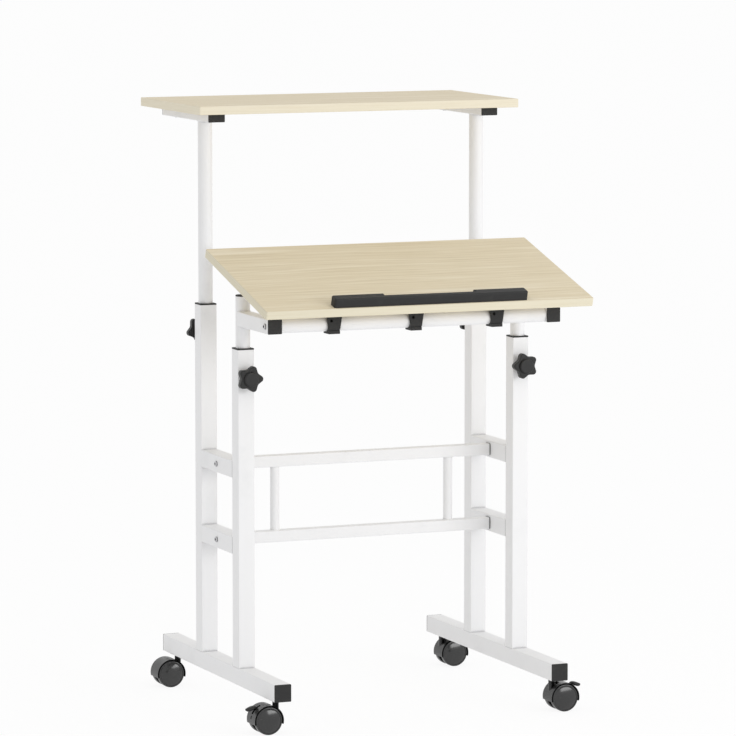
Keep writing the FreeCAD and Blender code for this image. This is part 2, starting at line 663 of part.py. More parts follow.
def knob_head():
    """A five-lobe clamp knob along +Z, seen from the face of its post."""
    body = new_body("knob_head")
    star = sketch(body, "XY_Plane", "lobe_start")
    points = []
    for step in range(2 * LOBES):
        angle = math.radians(180 / LOBES) * step
        reach = "knob_hollow_point" if step % 2 else "knob_tip_point"
        points.append(("%s * %.9f" % (reach, math.cos(angle)), "%s * %.9f" % (reach, math.sin(angle))))
    outline(star, points)
    pad(body, star, "knob_thickness")
    round_edges(body, "knob_corner", standing_around("knob_tip_point"))
    round_edges(body, "knob_hollow", standing_around("knob_hollow_point"))
    round_edges(body, "knob_round", level_at("lobe_start + knob_thickness"))
    collar = sketch(body, "XY_Plane", "knob_start")
    circle(collar, "knob_collar")
    pad(body, collar, "knob_collar_length")
    dome = sketch(body, "XY_Plane", "lobe_start")
    circle(dome, "knob_hub")
    pad(body, dome, "knob_thickness + knob_dome")
    round_edges(body, "min(knob_dome_round; knob_dome * 0.9)",
                level_at("lobe_start + knob_thickness + knob_dome"))
    seat = sketch(body, "XY_Plane", "knob_start")
    circle(seat, "stud_diameter")
    pocket(body, seat, "knob_collar_length + knob_thickness / 2", reverse=True)
    return body


def knobs():
    """The four clamp knobs with their moulded-in studs."""
    head = knob_head()
    stud = primitive("Cylinder", "knob_stud", z="stud_start", Radius="stud_diameter / 2",
                     Height="lobe_start + knob_thickness / 2 - stud_start")
    nodes = []
    for (side, sign), phases in zip(SIDES, ((0, 20), (180, 50))):
        for (end, end_sign), turn, phase in zip(ENDS, (TO_FRONT, TO_REAR), phases):
            node = group("%s_%s_knob" % (end, side), [copy_of(head), copy_of(stud)])
            spin = turn.multiply(Rotation(Vector(0, 0, 1), phase))
            nodes.append(place(node, "%d * post_x" % sign, "%d * (post_y + frame_tube / 2)" % end_sign,
                               end + "_top - knob_drop", spin))
    return nodes


def glide(name):
    """A square glide under a height tube, with a stem in the tube's bore; the tube's end is the origin."""
    body = new_body(name)
    block = sketch(body, "XY_Plane")
    rectangle(block, "post_inside - 2 * glide_clearance", "post_inside - 2 * glide_clearance")
    pad(body, block, "glide_height", reverse=True)
    round_edges(body, "tube_corner", standing)
    stem = sketch(body, "XY_Plane")
    circle(stem, "slide_bore - 2 * fit_clearance")
    pad(body, stem, "cap_depth")
    return body


def desk_carriage():
    """Height tubes, arms and tilt tube that carry the desktop."""
    nodes = []
    arm_start = "pivot_y - arm_overhang"
    arm_length = "-post_y - cope_trim - (%s)" % arm_start
    for side, sign in SIDES:
        x = "%d * post_x" % sign
        tube = round_tube(side + "_desk_tube", "slide_tube", "desk_tube_top - desk_tube_end")
        nodes.append(place(tube, x, "-post_y", "desk_tube_end"))
        arm = flat_tube(side + "_arm_blank", "arm_tube", "arm_tube", arm_length)
        drill(arm, "rail_screw + 2 * fit_clearance", "arm_overhang", plane="YZ_Plane", both_walls=True)
        place(arm, x, arm_start, "pivot_z", TO_REAR)
        cope = primitive("Cylinder", side + "_arm_cope", x=x, y="-post_y", z="pivot_z - arm_tube",
                         Radius="slide_tube / 2", Height="2 * arm_tube")
        nodes.append(cut(side + "_desk_arm", arm, cope))
    top_cap = round_plug("desk_tube_cap", "slide_tube", "tube_cap_height", "tube_cap_round")
    arm_cap = flat_plug("arm_end_cap", "arm_tube", "arm_tube", "arm_overhang - rail_screw")
    foot = glide("desk_glide")
    plug = screw_insert("tilt_tube_plug", circle, "tilt_tube - 2 * (slide_wall + fit_clearance)")
    bolt = screw("tilt_tube_screw", "rail_screw", "rail_screw_head", "rail_screw_head_height",
                 "arm_tube + cap_depth - rail_screw_head_height")
    caps, arm_caps, glides, plugs, bolts = [], [], [], [], []
    for sign, turn in ((-1, TO_LEFT), (1, TO_RIGHT)):
        x = "%d * post_x" % sign
        caps.append(copy_of(top_cap, x, "-post_y", "desk_tube_top"))
        arm_caps.append(copy_of(arm_cap, x, arm_start, "pivot_z", TO_FRONT))
        glides.append(copy_of(foot, x, "-post_y", "desk_tube_end"))
        plugs.append(copy_of(plug, "%d * (post_x - arm_tube / 2)" % sign, "pivot_y", "pivot_z", turn))
        bolts.append(copy_of(bolt, "%d * (post_x + arm_tube / 2)" % sign, "pivot_y", "pivot_z", turn))
    bar = round_tube("tilt_tube_bar", "tilt_tube", "post_span - arm_tube")
    bar.Label = "tilt_tube"
    place(bar, "arm_tube / 2 - post_x", "pivot_y", "pivot_z", TO_RIGHT)
    return nodes + [bar, group("desk_tube_caps", caps), group("desk_arm_end_caps", arm_caps),
                    group("desk_tube_glides", glides), group("tilt_tube_plugs", plugs),
                    group("tilt_tube_screws", bolts)]


def board(name, low, middle):
    """A board between its underside and its top, around a middle line from front to rear."""
    body = new_body(name)
    plan = sketch(body, "XY_Plane", low)
    rectangle(plan, "board_width", "board_depth", "0", middle)
    pad(body, plan, "board_thickness")
    round_edges(body, "board_corner", standing)
    high = "%s + board_thickness" % low
    round_edges(body, "board_round", lambda edge: level_at(low)(edge) or level_at(high)(edge))
    return body


def pilot_holes(body, low, diameter, places, depth=None):
    """Holes into a board or bar from its underside, all the way through where no depth is given."""
    holes = sketch(body, "XY_Plane", low)
    for x, y in places:
        circle(holes, diameter, x, y)
    pocket(body, holes, depth, reverse=True)


def beside_front(back, up):
    """A point by its places behind the tilt axis and above it, square to a clip's leaning front."""
    return ("(%s) * cos(clip_lean) + (%s) * sin(clip_lean)" % (back, up),
            "(%s) * cos(clip_lean) - (%s) * sin(clip_lean)" % (up, back))


def clip_blank():
    """A clip that snaps onto the tilt tube from behind, drawn around the tilt axis.

    Its front plate and its foot are wider than the web between them, which grips the tube.
    """
    body = new_body("tilt_clip_blank")
    block = sketch(body, "YZ_Plane")
    flange_low = "board_lift - clip_wall"
    foot_top = "clip_foot - clip_radius"
    outline(block, [
        ("-clip_flange", "board_lift"),
        ("-clip_flange", flange_low),
        ("(%s) * tan(clip_lean) - clip_radius / cos(clip_lean)" % flange_low, flange_low),
        beside_front("-clip_radius", foot_top + " + clip_groove"),
        beside_front("clip_groove - clip_radius", foot_top + " + clip_groove"),
        beside_front("clip_groove - clip_radius", foot_top),
        beside_front("-clip_radius", foot_top),
        beside_front("-clip_radius", "-clip_radius"),
        beside_front("clip_foot_reach", "-clip_radius"),
        beside_front("clip_foot_reach", foot_top),
        ("0", "0"),
        ("clip_web", "clip_slot"),
        ("clip_web", flange_low),
        ("clip_flange", flange_low),
        ("clip_flange", "board_lift"),
    ])
    pad(body, block, "clip_width", both_ways=True)
    ring = sketch(body, "YZ_Plane")
    circle(ring, "2 * clip_radius")
    pad(body, ring, "clip_width", both_ways=True)
    bore = sketch(body, "YZ_Plane")
    circle(bore, "tilt_tube + 2 * clip_clearance")
    pocket(body, bore, both_ways=True)
    slot = sketch(body, "YZ_Plane")
    rectangle(slot, "2 * clip_radius", "clip_slot", "clip_radius")
    pocket(body, slot, both_ways=True)
    taper = sketch(body, "XZ_Plane")
    for sign in (-1, 1):
        outline(taper, [
            ("%d * clip_width / 2" % sign, "clip_radius"),
            ("%d * clip_width" % sign, "clip_radius"),
            ("%d * clip_width" % sign, "-2 * clip_radius"),
            ("%d * clip_foot_width / 2" % sign, "-2 * clip_radius"),
            ("%d * clip_foot_width / 2" % sign, "(%s) / 2" % foot_top),
        ])
    pocket(body, taper, both_ways=True)
    inside = "(clip_plate - clip_radius)"
    for sign in (-1, 1):
        beside = sketch(body, "YZ_Plane", "%d * clip_web_width / 2" % sign)
        outline(beside, [
            beside_front(inside, foot_top + " + clip_gusset"),
            beside_front(inside + " + clip_gusset", foot_top),
            beside_front("2 * clip_radius", foot_top),
            ("2 * clip_radius", flange_low),
            ("(%s) * tan(clip_lean) + %s / cos(clip_lean)" % (flange_low, inside), flange_low),
        ])
        pocket(body, beside, "clip_width", reverse=sign > 0)
    screws = sketch(body, "XY_Plane", "board_lift")
    for sign in (-1, 1):
        circle(screws, "wood_screw + 2 * fit_clearance", "0", "%d * clip_screw_y" % sign)
    pocket(body, screws, "clip_wall")
    return body


def desktop():
    """Board, clips, grub screws, stop bar and screws, all drawn around the tilt axis."""
    plate = board("desktop_board", "board_lift", "board_depth / 2 - board_front")
    clip_x = ["%d * clip_span" % step for step in (-1, 0, 1)]
    clip_points = [(x, "%d * clip_screw_y" % sign) for x in clip_x for sign in (-1, 1)]
    stop_points = [("%d * stop_screw_span / 2" % sign, "stop_y") for sign in (-1, 1)]
    pilot = "wood_screw + 2 * fit_clearance"
    pilot_holes(plate, "board_lift", pilot, clip_points, "board_thickness - screw_cover + fit_clearance")
    pilot_holes(plate, "board_lift", pilot, stop_points)

    hole = primitive("Cylinder", "grub_hole", Radius="grub_diameter / 2 + fit_clearance",
                     Height="2 * clip_radius")
    place_leaning(hole, "90 - grub_rise", "-grub_offset")
    clip = cut("tilt_clip", clip_blank(), hole)
    grub = new_body("grub_screw")
    shank = sketch(grub, "XY_Plane", "tilt_tube / 2 + clip_clearance")
    circle(shank, "grub_diameter")
    pad(grub, shank, "grub_length")
    socket = sketch(grub, "XY_Plane", "tilt_tube / 2 + clip_clearance + grub_length")
    hexagon(socket, "grub_diameter * socket_share")
    pocket(grub, socket, "grub_length * socket_share")
    clips = [copy_of(clip, x) for x in clip_x]
    grubs = [place_leaning(copy_of(grub), "90 - grub_rise", x + " - grub_offset") for x in clip_x]

    bar = new_body("laptop_stop_bar")
    top = "board_lift + board_thickness"
    plan = sketch(bar, "XY_Plane", top)
    rectangle(plan, "stop_length", "stop_depth", "0", "stop_y")
    pad(bar, plan, "stop_height")
    round_edges(bar, "stop_end_radius", standing)
    scoop = sketch(bar, "XY_Plane", top + " + stop_height")
    rectangle(scoop, "scoop_length", "2 * scoop_width", "0", "stop_y + stop_depth / 2")
    pocket(bar, scoop, "scoop_depth")
    round_edges(bar, "stop_round", level_at(top + " + stop_height"))
    pilot_holes(bar, top, pilot, stop_points, "stop_height - screw_cover + fit_clearance")

    clip_screw = screw("clip_screw", "wood_screw", "wood_screw_head", "wood_screw_head_height",
                       "clip_wall + board_thickness - screw_cover")
    stop_screw = screw("stop_screw", "wood_screw", "wood_screw_head", "wood_screw_head_height",
                       "board_thickness + stop_height - screw_cover")
    screws = [copy_of(clip_screw, x, y, "board_lift - clip_wall", UPSIDE_DOWN) for x, y in clip_points]
    screws += [copy_of(stop_screw, x, y, "board_lift", UPSIDE_DOWN) for x, y in stop_points]
    nodes = [plate, group("tilt_clips", clips), group("tilt_grub_screws", grubs), bar,
             group("desktop_screws", screws)]
    return [place_leaning(node, "tilt_angle", y="pivot_y", z="pivot_z") for node in nodes]


def shelf():
    """Shelf board, bearers and height tubes."""
    plate = board("shelf_board", "shelf_z", "shelf_front + board_depth / 2")
    bearer_y = "(post_y + bearer_shift)"
    points = [("%d * post_x" % sign, "%s + %d * bearer_screw_span / 2" % (bearer_y, end_sign))
              for sign in (-1, 1) for end_sign in (-1, 1)]
    pilot_holes(plate, "shelf_z", "wood_screw + 2 * fit_clearance", points,
                "board_thickness - screw_cover + fit_clearance")
    nodes = [place(plate)]
    for side, sign in SIDES:
        x = "%d * post_x" % sign
        tube = round_tube(side + "_shelf_tube", "slide_tube", "bearer_z - shelf_tube_end")
        nodes.append(place(tube, x, "post_y", "shelf_tube_end"))
        bearer = flat_tube(side + "_shelf_bearer", "bearer_width", "bearer_height", "bearer_length")
        for end_sign in (-1, 1):
            drill(bearer, "wood_screw + 2 * fit_clearance",
                  "bearer_length / 2 + %d * bearer_screw_span / 2" % end_sign, both_walls=True)
        nodes.append(place(bearer, x, bearer_y + " - bearer_length / 2", "bearer_z + bearer_height / 2",
                           TO_REAR))
    cap = flat_plug("bearer_end_cap", "bearer_width", "bearer_height")
    foot = glide("shelf_glide")
    bolt = screw("shelf_screw", "wood_screw", "wood_screw_head", "wood_screw_head_height",
                 "bearer_height + board_thickness - screw_cover")
    caps, glides = [], []
    for sign in (-1, 1):
        x = "%d * post_x" % sign
        glides.append(copy_of(foot, x, "post_y", "shelf_tube_end"))
        for end_sign, turn in ((-1, TO_FRONT), (1, TO_REAR)):
            caps.append(copy_of(cap, x, "%s + %d * bearer_length / 2" % (bearer_y, end_sign),
                                "bearer_z + bearer_height / 2", turn))
    screws = [copy_of(bolt, x, y, "bearer_z", UPSIDE_DOWN) for x, y in points]
    return nodes + [group("bearer_end_caps", caps), group("shelf_tube_glides", glides),
                    group("shelf_screws", screws)]


def caster_hood(name, with_brake):
    """A caster's hood, web and stem boss, drawn around the axle, with the trail along +X."""
    wide = "2 * hood_radius"
    outer = rod_along_y(name + "_outer", "2 * hood_radius", "hood_width")
    inner = rod_along_y(name + "_inner", "2 * hood_inside", "2 * hood_width")
    web = rod_along_y(name + "_web", "2 * hood_radius", "web_width")
    shell = fuse(name + "_shell", [cut(name + "_arch", outer, inner), web])
    below = box(name + "_below", ("-" + wide, "-hood_width", "-" + wide), (wide, "hood_width", "-hood_drop"))
    valley = box(name + "_valley", ("-" + wide, "-web_width / 2", "hood_radius - valley_depth"),
                 ("-valley_end", "web_width / 2", wide))
    hub = rod_along_y(name + "_hub", "hub_diameter", "web_width")
    boss_top = "foot_z - axle_z - stem_flange_height - stem_play"
    boss = primitive("Cylinder", name + "_boss", x="-trail", z="-hood_drop",
                     Radius="stem_boss / 2", Height=boss_top + " + hood_drop")
    saddle = cut(name + "_saddle", cut(name + "_half", shell, below), valley)
    solid = fuse(name + "_solid", [saddle, hub, boss])
    tools = [
        rod_along_y(name + "_axle_bore", "axle_diameter + 2 * running_clearance", "hood_width"),
        primitive("Cylinder", name + "_stem_bore", x="-trail", z=boss_top + " - stem_depth",
                  Radius="stud_diameter / 2 + running_clearance", Height="2 * stem_depth"),
    ]
    if with_brake:
        half_slot = "lever_width / 2 + lever_play"
        room = "(lever_hub / 2 + lever_play)"
        tools.append(box(name + "_slot",
                         ("lever_pivot_x - " + room, "-(%s)" % half_slot, "lever_pivot_z - " + room),
                         (wide, half_slot, wide)))
        tools.append(box(name + "_window",
                         ("hood_radius - window_depth", "-window_width / 2", "window_rise"),
                         (wide, "window_width / 2", "window_rise + window_height")))
        tools.append(rod_along_y(name + "_lever_bore", "lever_pin + 2 * running_clearance",
                                 "2 * web_width", "lever_pivot_x", "lever_pivot_z"))
    return cut(name, solid, fuse(name + "_tools", tools))


def caster_wheel():
    """A wheel with a domed outer face, along +Z from the middle of the caster."""
    body = new_body("caster_wheel")
    profile = sketch(body, "XZ_Plane")
    radius = "wheel_diameter / 2"
    rim = "web_gap / 2 + wheel_tread"
    bore = "axle_diameter / 2 + running_clearance"
    floor = "web_gap / 2 + wheel_bore_depth"
    points = [
        ("0", rim + " + wheel_dome"),
        ("0", floor),
        (bore, floor),
        (bore, "web_gap / 2"),
        (radius + " - wheel_edge", "web_gap / 2"),
        (radius, "web_gap / 2 + wheel_edge"),
        (radius, rim + " - wheel_edge"),
        (radius + " - wheel_edge", rim),
    ]
    corners = [Vector(value(x), value(y), 0) for x, y in points]
    for start, end in zip(corners, corners[1:]):
        profile.addGeometry(Part.LineSegment(start, end))
    edge_radius = value(radius + " - wheel_edge")
    rise = value("wheel_dome")
    dome_radius = (edge_radius ** 2 + rise ** 2) / (2 * rise)
    dome_centre = Vector(0, value(rim) + rise - dome_radius, 0)
    dome = Part.Circle(dome_centre, Vector(0, 0, 1), dome_radius)
    sweep = math.asin(edge_radius / dome_radius)
    arc = profile.addGeometry(Part.ArcOfCircle(dome, math.pi / 2 - sweep, math.pi / 2))
    for index in range(len(points) - 2):
        profile.addConstraint(Sketcher.Constraint("Coincident", index, 2, index + 1, 1))
    profile.addConstraint(Sketcher.Constraint("Coincident", arc - 1, 2, arc, 1))
    profile.addConstraint(Sketcher.Constraint("Coincident", arc, 2, 0, 1))
    for index in range(len(points) - 1):
        pin_point(profile, index, 1, *points[index])
    pin_point(profile, arc - 1, 2, *points[-1])
    dimension(profile, "DistanceX", (-1, 1, arc, 3), "0")
    revolve(body, profile)
    return body


def brake_lever():
    """A foot lever on trunnions in the caster's web, drawn around the axle."""
    hub = rod_along_y("lever_hub_rod", "lever_hub", "lever_width", "lever_pivot_x", "lever_pivot_z")
    trunnions = rod_along_y("lever_trunnions", "lever_pin", "web_width", "lever_pivot_x", "lever_pivot_z")
    arm = box("lever_arm",
              ("lever_pivot_x - lever_pin", "-lever_width / 2", "lever_pivot_z"),
              ("paddle_start + paddle_round * 2", "lever_width / 2",
               "paddle_rise + paddle_thickness - paddle_round"))
    body = new_body("lever_paddle")
    plan = sketch(body, "XY_Plane")
    rectangle(plan, "paddle_length", "paddle_width", "paddle_length / 2")
    pad(body, plan, "paddle_thickness")
    round_edges(body, "min(paddle_corner; paddle_width * 0.45)", standing)
    round_edges(body, "min(paddle_round; paddle_thickness * 0.45)",
                lambda edge: level_at("0")(edge) or level_at("paddle_thickness")(edge))
    place_leaning(body, "paddle_slope", "paddle_start", z="paddle_rise", axis=Vector(0, 1, 0))
    return fuse("brake_lever", [hub, trunnions, arm, body])


def casters():
    """Four twin-wheel casters that trail outwards, the front two with brake levers."""
    plain_hood = caster_hood("plain_hood", False)
    brake_hood = caster_hood("brake_hood", True)
    axle = rod_along_y("axle", "axle_diameter", "2 * (web_gap / 2 + wheel_bore_depth - axle_end_gap)")
    wheel = caster_wheel()
    lever = brake_lever()
    nodes = []
    for side, sign in SIDES:
        heading = Rotation(Vector(0, 0, 1), 90 - 90 * sign)
        for end, end_sign in ENDS:
            where = ("%d * (post_x + trail)" % sign, "%d * stem_y" % end_sign, "axle_z")
            caster = "%s_%s_caster_" % (end, side)
            pieces = [("hood", brake_hood if end == "front" else plain_hood, heading),
                      ("axle", axle, heading),
                      ("fore_wheel", wheel, TO_FRONT),
                      ("aft_wheel", wheel, TO_REAR)]
            if end == "front":
                pieces.append(("brake_lever", lever, heading))
            for piece, master, turn in pieces:
                nodes.append(place(group(caster + piece, [copy_of(master)]), *where, turn))
    return nodes


def check_document():
    """Stop if any object of the document failed."""
    for item in doc.Objects:
        if "Invalid" in item.State or "Error" in item.State:
            raise RuntimeError("failed object: " + item.Label)


def write_parts(nodes):
    """Check every sub-part's shape, then write one STEP file for each."""
    for node in nodes:
        if node.Shape.isNull() or not node.Shape.isValid() or not node.Shape.Solids:
            raise RuntimeError("bad shape: " + node.Label)
    os.makedirs("parts", exist_ok=True)
    for node in nodes:
        node.Shape.exportStep("parts/%s.step" % node.Label)


fill_sheet()
parts = base_tubes() + base_fittings() + knobs() + desk_carriage() + desktop() + shelf() + casters()
doc.recompute()
check_document()
write_parts(parts)
print(len(parts), "nodes,", sum(len(node.Shape.Solids) for node in parts), "solids")
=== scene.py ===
"""Finishes, wheels, levers, welds and a studio for a mobile sit-stand desk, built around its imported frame.

The file is laid out as an add-on. Run as a script, it dresses the frame once from start to end.
Lengths are in metres: +Z is up from the floor and +X is to the right of a user who faces +Y.
"""

import json
import math

import bmesh
import bpy
from bpy.props import FloatProperty, FloatVectorProperty, IntProperty, PointerProperty
from mathutils import Matrix, Vector


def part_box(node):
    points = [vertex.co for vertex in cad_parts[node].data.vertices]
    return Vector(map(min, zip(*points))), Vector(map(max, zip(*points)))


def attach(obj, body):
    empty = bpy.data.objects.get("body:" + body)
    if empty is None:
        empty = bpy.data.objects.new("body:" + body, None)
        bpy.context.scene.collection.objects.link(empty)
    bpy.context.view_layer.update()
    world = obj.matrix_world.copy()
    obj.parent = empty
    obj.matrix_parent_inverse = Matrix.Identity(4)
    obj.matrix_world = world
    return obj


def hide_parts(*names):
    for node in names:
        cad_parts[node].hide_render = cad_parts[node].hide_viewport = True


bl_info = {
    "name": "Sit-stand desk",
    "version": (1, 0, 0),
    "blender": (4, 5, 0),
    "location": "View3D > Sidebar > Desk",
    "description": "Gives a packed sit-stand desk its finishes, wheels, levers, welds and studio",
    "category": "Object",
}

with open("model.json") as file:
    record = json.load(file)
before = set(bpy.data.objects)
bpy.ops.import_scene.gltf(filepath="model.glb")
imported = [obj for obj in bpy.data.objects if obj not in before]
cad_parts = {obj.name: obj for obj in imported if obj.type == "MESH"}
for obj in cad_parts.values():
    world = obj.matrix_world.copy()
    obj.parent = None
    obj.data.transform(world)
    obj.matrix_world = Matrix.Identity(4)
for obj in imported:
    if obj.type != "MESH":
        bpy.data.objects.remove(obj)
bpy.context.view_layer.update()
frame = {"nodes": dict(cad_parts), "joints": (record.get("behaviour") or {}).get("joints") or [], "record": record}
JOINTS = {joint["name"]: joint for joint in frame["joints"]}
SLOTS = {part["node"]: part["material_slot"] for part in frame["record"]["subparts"]}

SIDES = ("left", "right")
ENDS = ("front", "rear")
WHEELS = ("fore", "aft")
RESTING_TILT = -JOINTS["desktop_tilt"]["range_deg"][0]
ACROSS = Vector((1, 0, 0))
TO_REAR = Vector((0, 1, 0))
UP = Vector((0, 0, 1))
MILLIMETRE = 0.001
SHARP_ANGLE = math.radians(40)
ARC_STEPS = 5
# Near-black painted shade for recesses, gaps and hood rims in the plastics and the wheels.
PAINTED_SHADE_BLACK = (0.002, 0.002, 0.002, 1)
DULL_ZINC = (0.3, 0.3, 0.31, 1)
# Near-black painted shade in the screws' sockets and other zinc recesses.
PAINTED_ZINC_SHADE = (0.015, 0.015, 0.016, 1)
OXIDE_BLACK = (0.02, 0.02, 0.021, 1)


def linear(red, green, blue):
    """Linear colour of three screen values from 0 to 255."""
    def channel(level):
        share = level / 255
        return share / 12.92 if share <= 0.04045 else ((share + 0.055) / 1.055) ** 2.4
    return tuple(channel(level) for level in (red, green, blue))


def opaque(colour):
    """A colour with full alpha, as node sockets take it."""
    return (*colour, 1)


def middle(node):
    """Centre of a CAD node's box at rest."""
    low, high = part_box(node)
    return (low + high) / 2


class Wire:
    """One output of a node, with arithmetic that adds Math nodes."""

    def __init__(self, shader, socket):
        self.shader = shader
        self.socket = socket

    def math(self, operation, first, second=0.0):
        """A Math node on two values."""
        return self.shader.node("ShaderNodeMath", {"operation": operation}, {0: first, 1: second})

    def __add__(self, other):
        return self.math("ADD", self, other)

    __radd__ = __add__

    def __sub__(self, other):
        return self.math("SUBTRACT", self, other)

    def __rsub__(self, other):
        return self.math("SUBTRACT", other, self)

    def __mul__(self, other):
        return self.math("MULTIPLY", self, other)

    __rmul__ = __mul__

    def __truediv__(self, other):
        return self.math("DIVIDE", self, other)

    def __rtruediv__(self, other):
        return self.math("DIVIDE", other, self)

    def __pow__(self, other):
        return self.math("POWER", self, other)

    def __abs__(self):
        return self.math("ABSOLUTE", self)

    def fraction(self):
        """The part after the decimal point."""
        return self.math("FRACT", self)

    def larger(self, other):
        """The larger of two values."""
        return self.math("MAXIMUM", self, other)

    def ramp(self, low, high):
        """0 below one value, 1 above another, smooth in between."""
        return self.shader.node("ShaderNodeMapRange", {"interpolation_type": "SMOOTHSTEP"},
                                {0: self, 1: low, 2: high})


class Shader:
    """A node tree under construction."""

    def __init__(self, tree):
        self.tree = tree

    def plug(self, socket, value):
        """Give a socket a link or a number."""
        if isinstance(value, Wire):
            self.tree.links.new(value.socket, socket)
        else:
            socket.default_value = value

    def node(self, kind, settings, inputs, output=0):
        """Add a node: its settings first, then the numbers or links of its inputs."""
        made = self.tree.nodes.new(kind)
        for key, value in settings.items():
            setattr(made, key, value)
        for key, value in inputs.items():
            self.plug(made.inputs[key], value)
        return Wire(self, made.outputs[output])

    def fill(self, name, inputs):
        """Give numbers or links to the inputs of a node that the tree already has."""
        for key, value in inputs.items():
            self.plug(self.tree.nodes[name].inputs[key], value)

    def coordinate(self, output="Object"):
        """A piece's own coordinates, which move with it."""
        return self.node("ShaderNodeTexCoord", {}, {}, output)

    def turned(self, vector, place, tilt):
        """A vector as seen from a place that leans about X."""
        return self.node("ShaderNodeMapping", {"vector_type": "TEXTURE"},
                         {"Vector": vector, "Location": place, "Rotation": (tilt, 0, 0)})

    def stretched(self, vector, scale):
        """A vector times one number for each axis."""
        return self.node("ShaderNodeVectorMath", {"operation": "MULTIPLY"}, {0: vector, 1: scale})

    def axes(self, vector):
        """The three numbers of a vector."""
        parts = self.node("ShaderNodeSeparateXYZ", {}, {0: vector}).socket.node
        return [Wire(self, socket) for socket in parts.outputs]

    def noise(self, vector, scale, detail=2.0, roughness=0.5):
        """Soft random values from 0 to 1."""
        return self.node("ShaderNodeTexNoise", {},
                         {"Vector": vector, "Scale": scale, "Detail": detail, "Roughness": roughness})

    def mixed(self, share, low, high):
        """A colour between two colours."""
        return self.node("ShaderNodeMix", {"data_type": "RGBA"}, {0: share, 6: low, 7: high}, 2)

    def rounded(self, radius):
        """Normals that round sharp edges off."""
        return self.node("ShaderNodeBevel", {"samples": 4}, {"Radius": radius})

    def edges(self, soft_normal, gain):
        """1 along sharp edges and 0 on faces."""
        hard_normal = self.node("ShaderNodeNewGeometry", {}, {}, "Normal")
        match = self.node("ShaderNodeVectorMath", {"operation": "DOT_PRODUCT"},
                          {0: soft_normal, 1: hard_normal}, "Value")
        return ((1 - match) * gain).ramp(0.0, 1.0)

    def sunk(self, reach):
        """0 on open faces, up to 1 deep in recesses and corners."""
        return 1 - self.node("ShaderNodeAmbientOcclusion", {"samples": 8}, {"Distance": reach}, "AO")

    def bump(self, height, depth, normal):
        """Normals of a surface that rises by a depth where the height is 1."""
        return self.node("ShaderNodeBump", {}, {"Height": height, "Distance": depth, "Normal": normal})


def new_finish(name):
    """An empty material and its shader."""
    material = bpy.data.materials.new(name)
    material.use_nodes = True
    return material, Shader(material.node_tree)


def coat(nodes, material):
    """Give CAD nodes a material."""
    for node in nodes:
        slots = frame["nodes"][node].data.materials
        slots.clear()
        slots.append(material)


def nodes_of(slot):
    """The CAD nodes of a material slot of the record."""
    return [node for node, name in SLOTS.items() if name == slot]


class DeskFinishes(bpy.types.PropertyGroup):
    """Colours and surface sizes of the desk's finishes."""

    coat_colour: FloatVectorProperty(
        name="Powder coat", description="Colour of the painted tubes", subtype="COLOR",
        min=0, max=1, default=linear(239, 239, 240))
    coat_shade: FloatVectorProperty(
        name="Powder coat shade", description="Colour of the paint where it is thin or handled",
        subtype="COLOR", min=0, max=1, default=linear(225, 226, 227))
    # Painted shade: the grey that the paint in corners and narrow gaps is darkened towards.
    painted_corner_shade: FloatVectorProperty(
        name="Corner shade", description="Colour of the paint in corners and narrow gaps",
        subtype="COLOR", min=0, max=1, default=linear(122, 122, 124))
    coat_grain: FloatProperty(
        name="Powder grain", description="Width of the paint's orange peel", unit="LENGTH",
        min=0.0002, max=0.01, default=0.0013)
    top_colour: FloatVectorProperty(
        name="Maple", description="Middle colour of the boards' faces", subtype="COLOR",
        min=0, max=1, default=linear(229, 216, 187))
    grain_colour: FloatVectorProperty(
        name="Maple grain", description="Colour of the dark growth lines", subtype="COLOR",
        min=0, max=1, default=linear(201, 184, 150))
    pale_colour: FloatVectorProperty(
        name="Maple light", description="Colour of the pale wood between the lines", subtype="COLOR",
        min=0, max=1, default=linear(243, 233, 210))
    desktop_band: FloatVectorProperty(
        name="Desktop edge band", description="Colour of the band around the desktop", subtype="COLOR",
        min=0, max=1, default=linear(225, 218, 196))
    shelf_band: FloatVectorProperty(
        name="Shelf edge band", description="Colour of the band around the shelf", subtype="COLOR",
        min=0, max=1, default=linear(235, 227, 206))
    ring_spacing: FloatProperty(
        name="Ring spacing", description="Distance between growth lines", unit="LENGTH",
        min=0.002, max=0.05, default=0.011)
    plastic_colour: FloatVectorProperty(
        name="Black plastic", description="Colour of caps, knobs, clips and hoods", subtype="COLOR",
        min=0, max=1, default=linear(40, 40, 40))
    worn_colour: FloatVectorProperty(
        name="Worn plastic", description="Colour of the plastic along handled edges", subtype="COLOR",
        min=0, max=1, default=linear(88, 88, 86))
    wheel_colour: FloatVectorProperty(
        name="Wheel", description="Colour of the caster wheels", subtype="COLOR",
        min=0, max=1, default=linear(12, 12, 12))
    zinc_colour: FloatVectorProperty(
        name="Zinc", description="Colour of the plated screws", subtype="COLOR",
        min=0, max=1, default=linear(206, 206, 208))


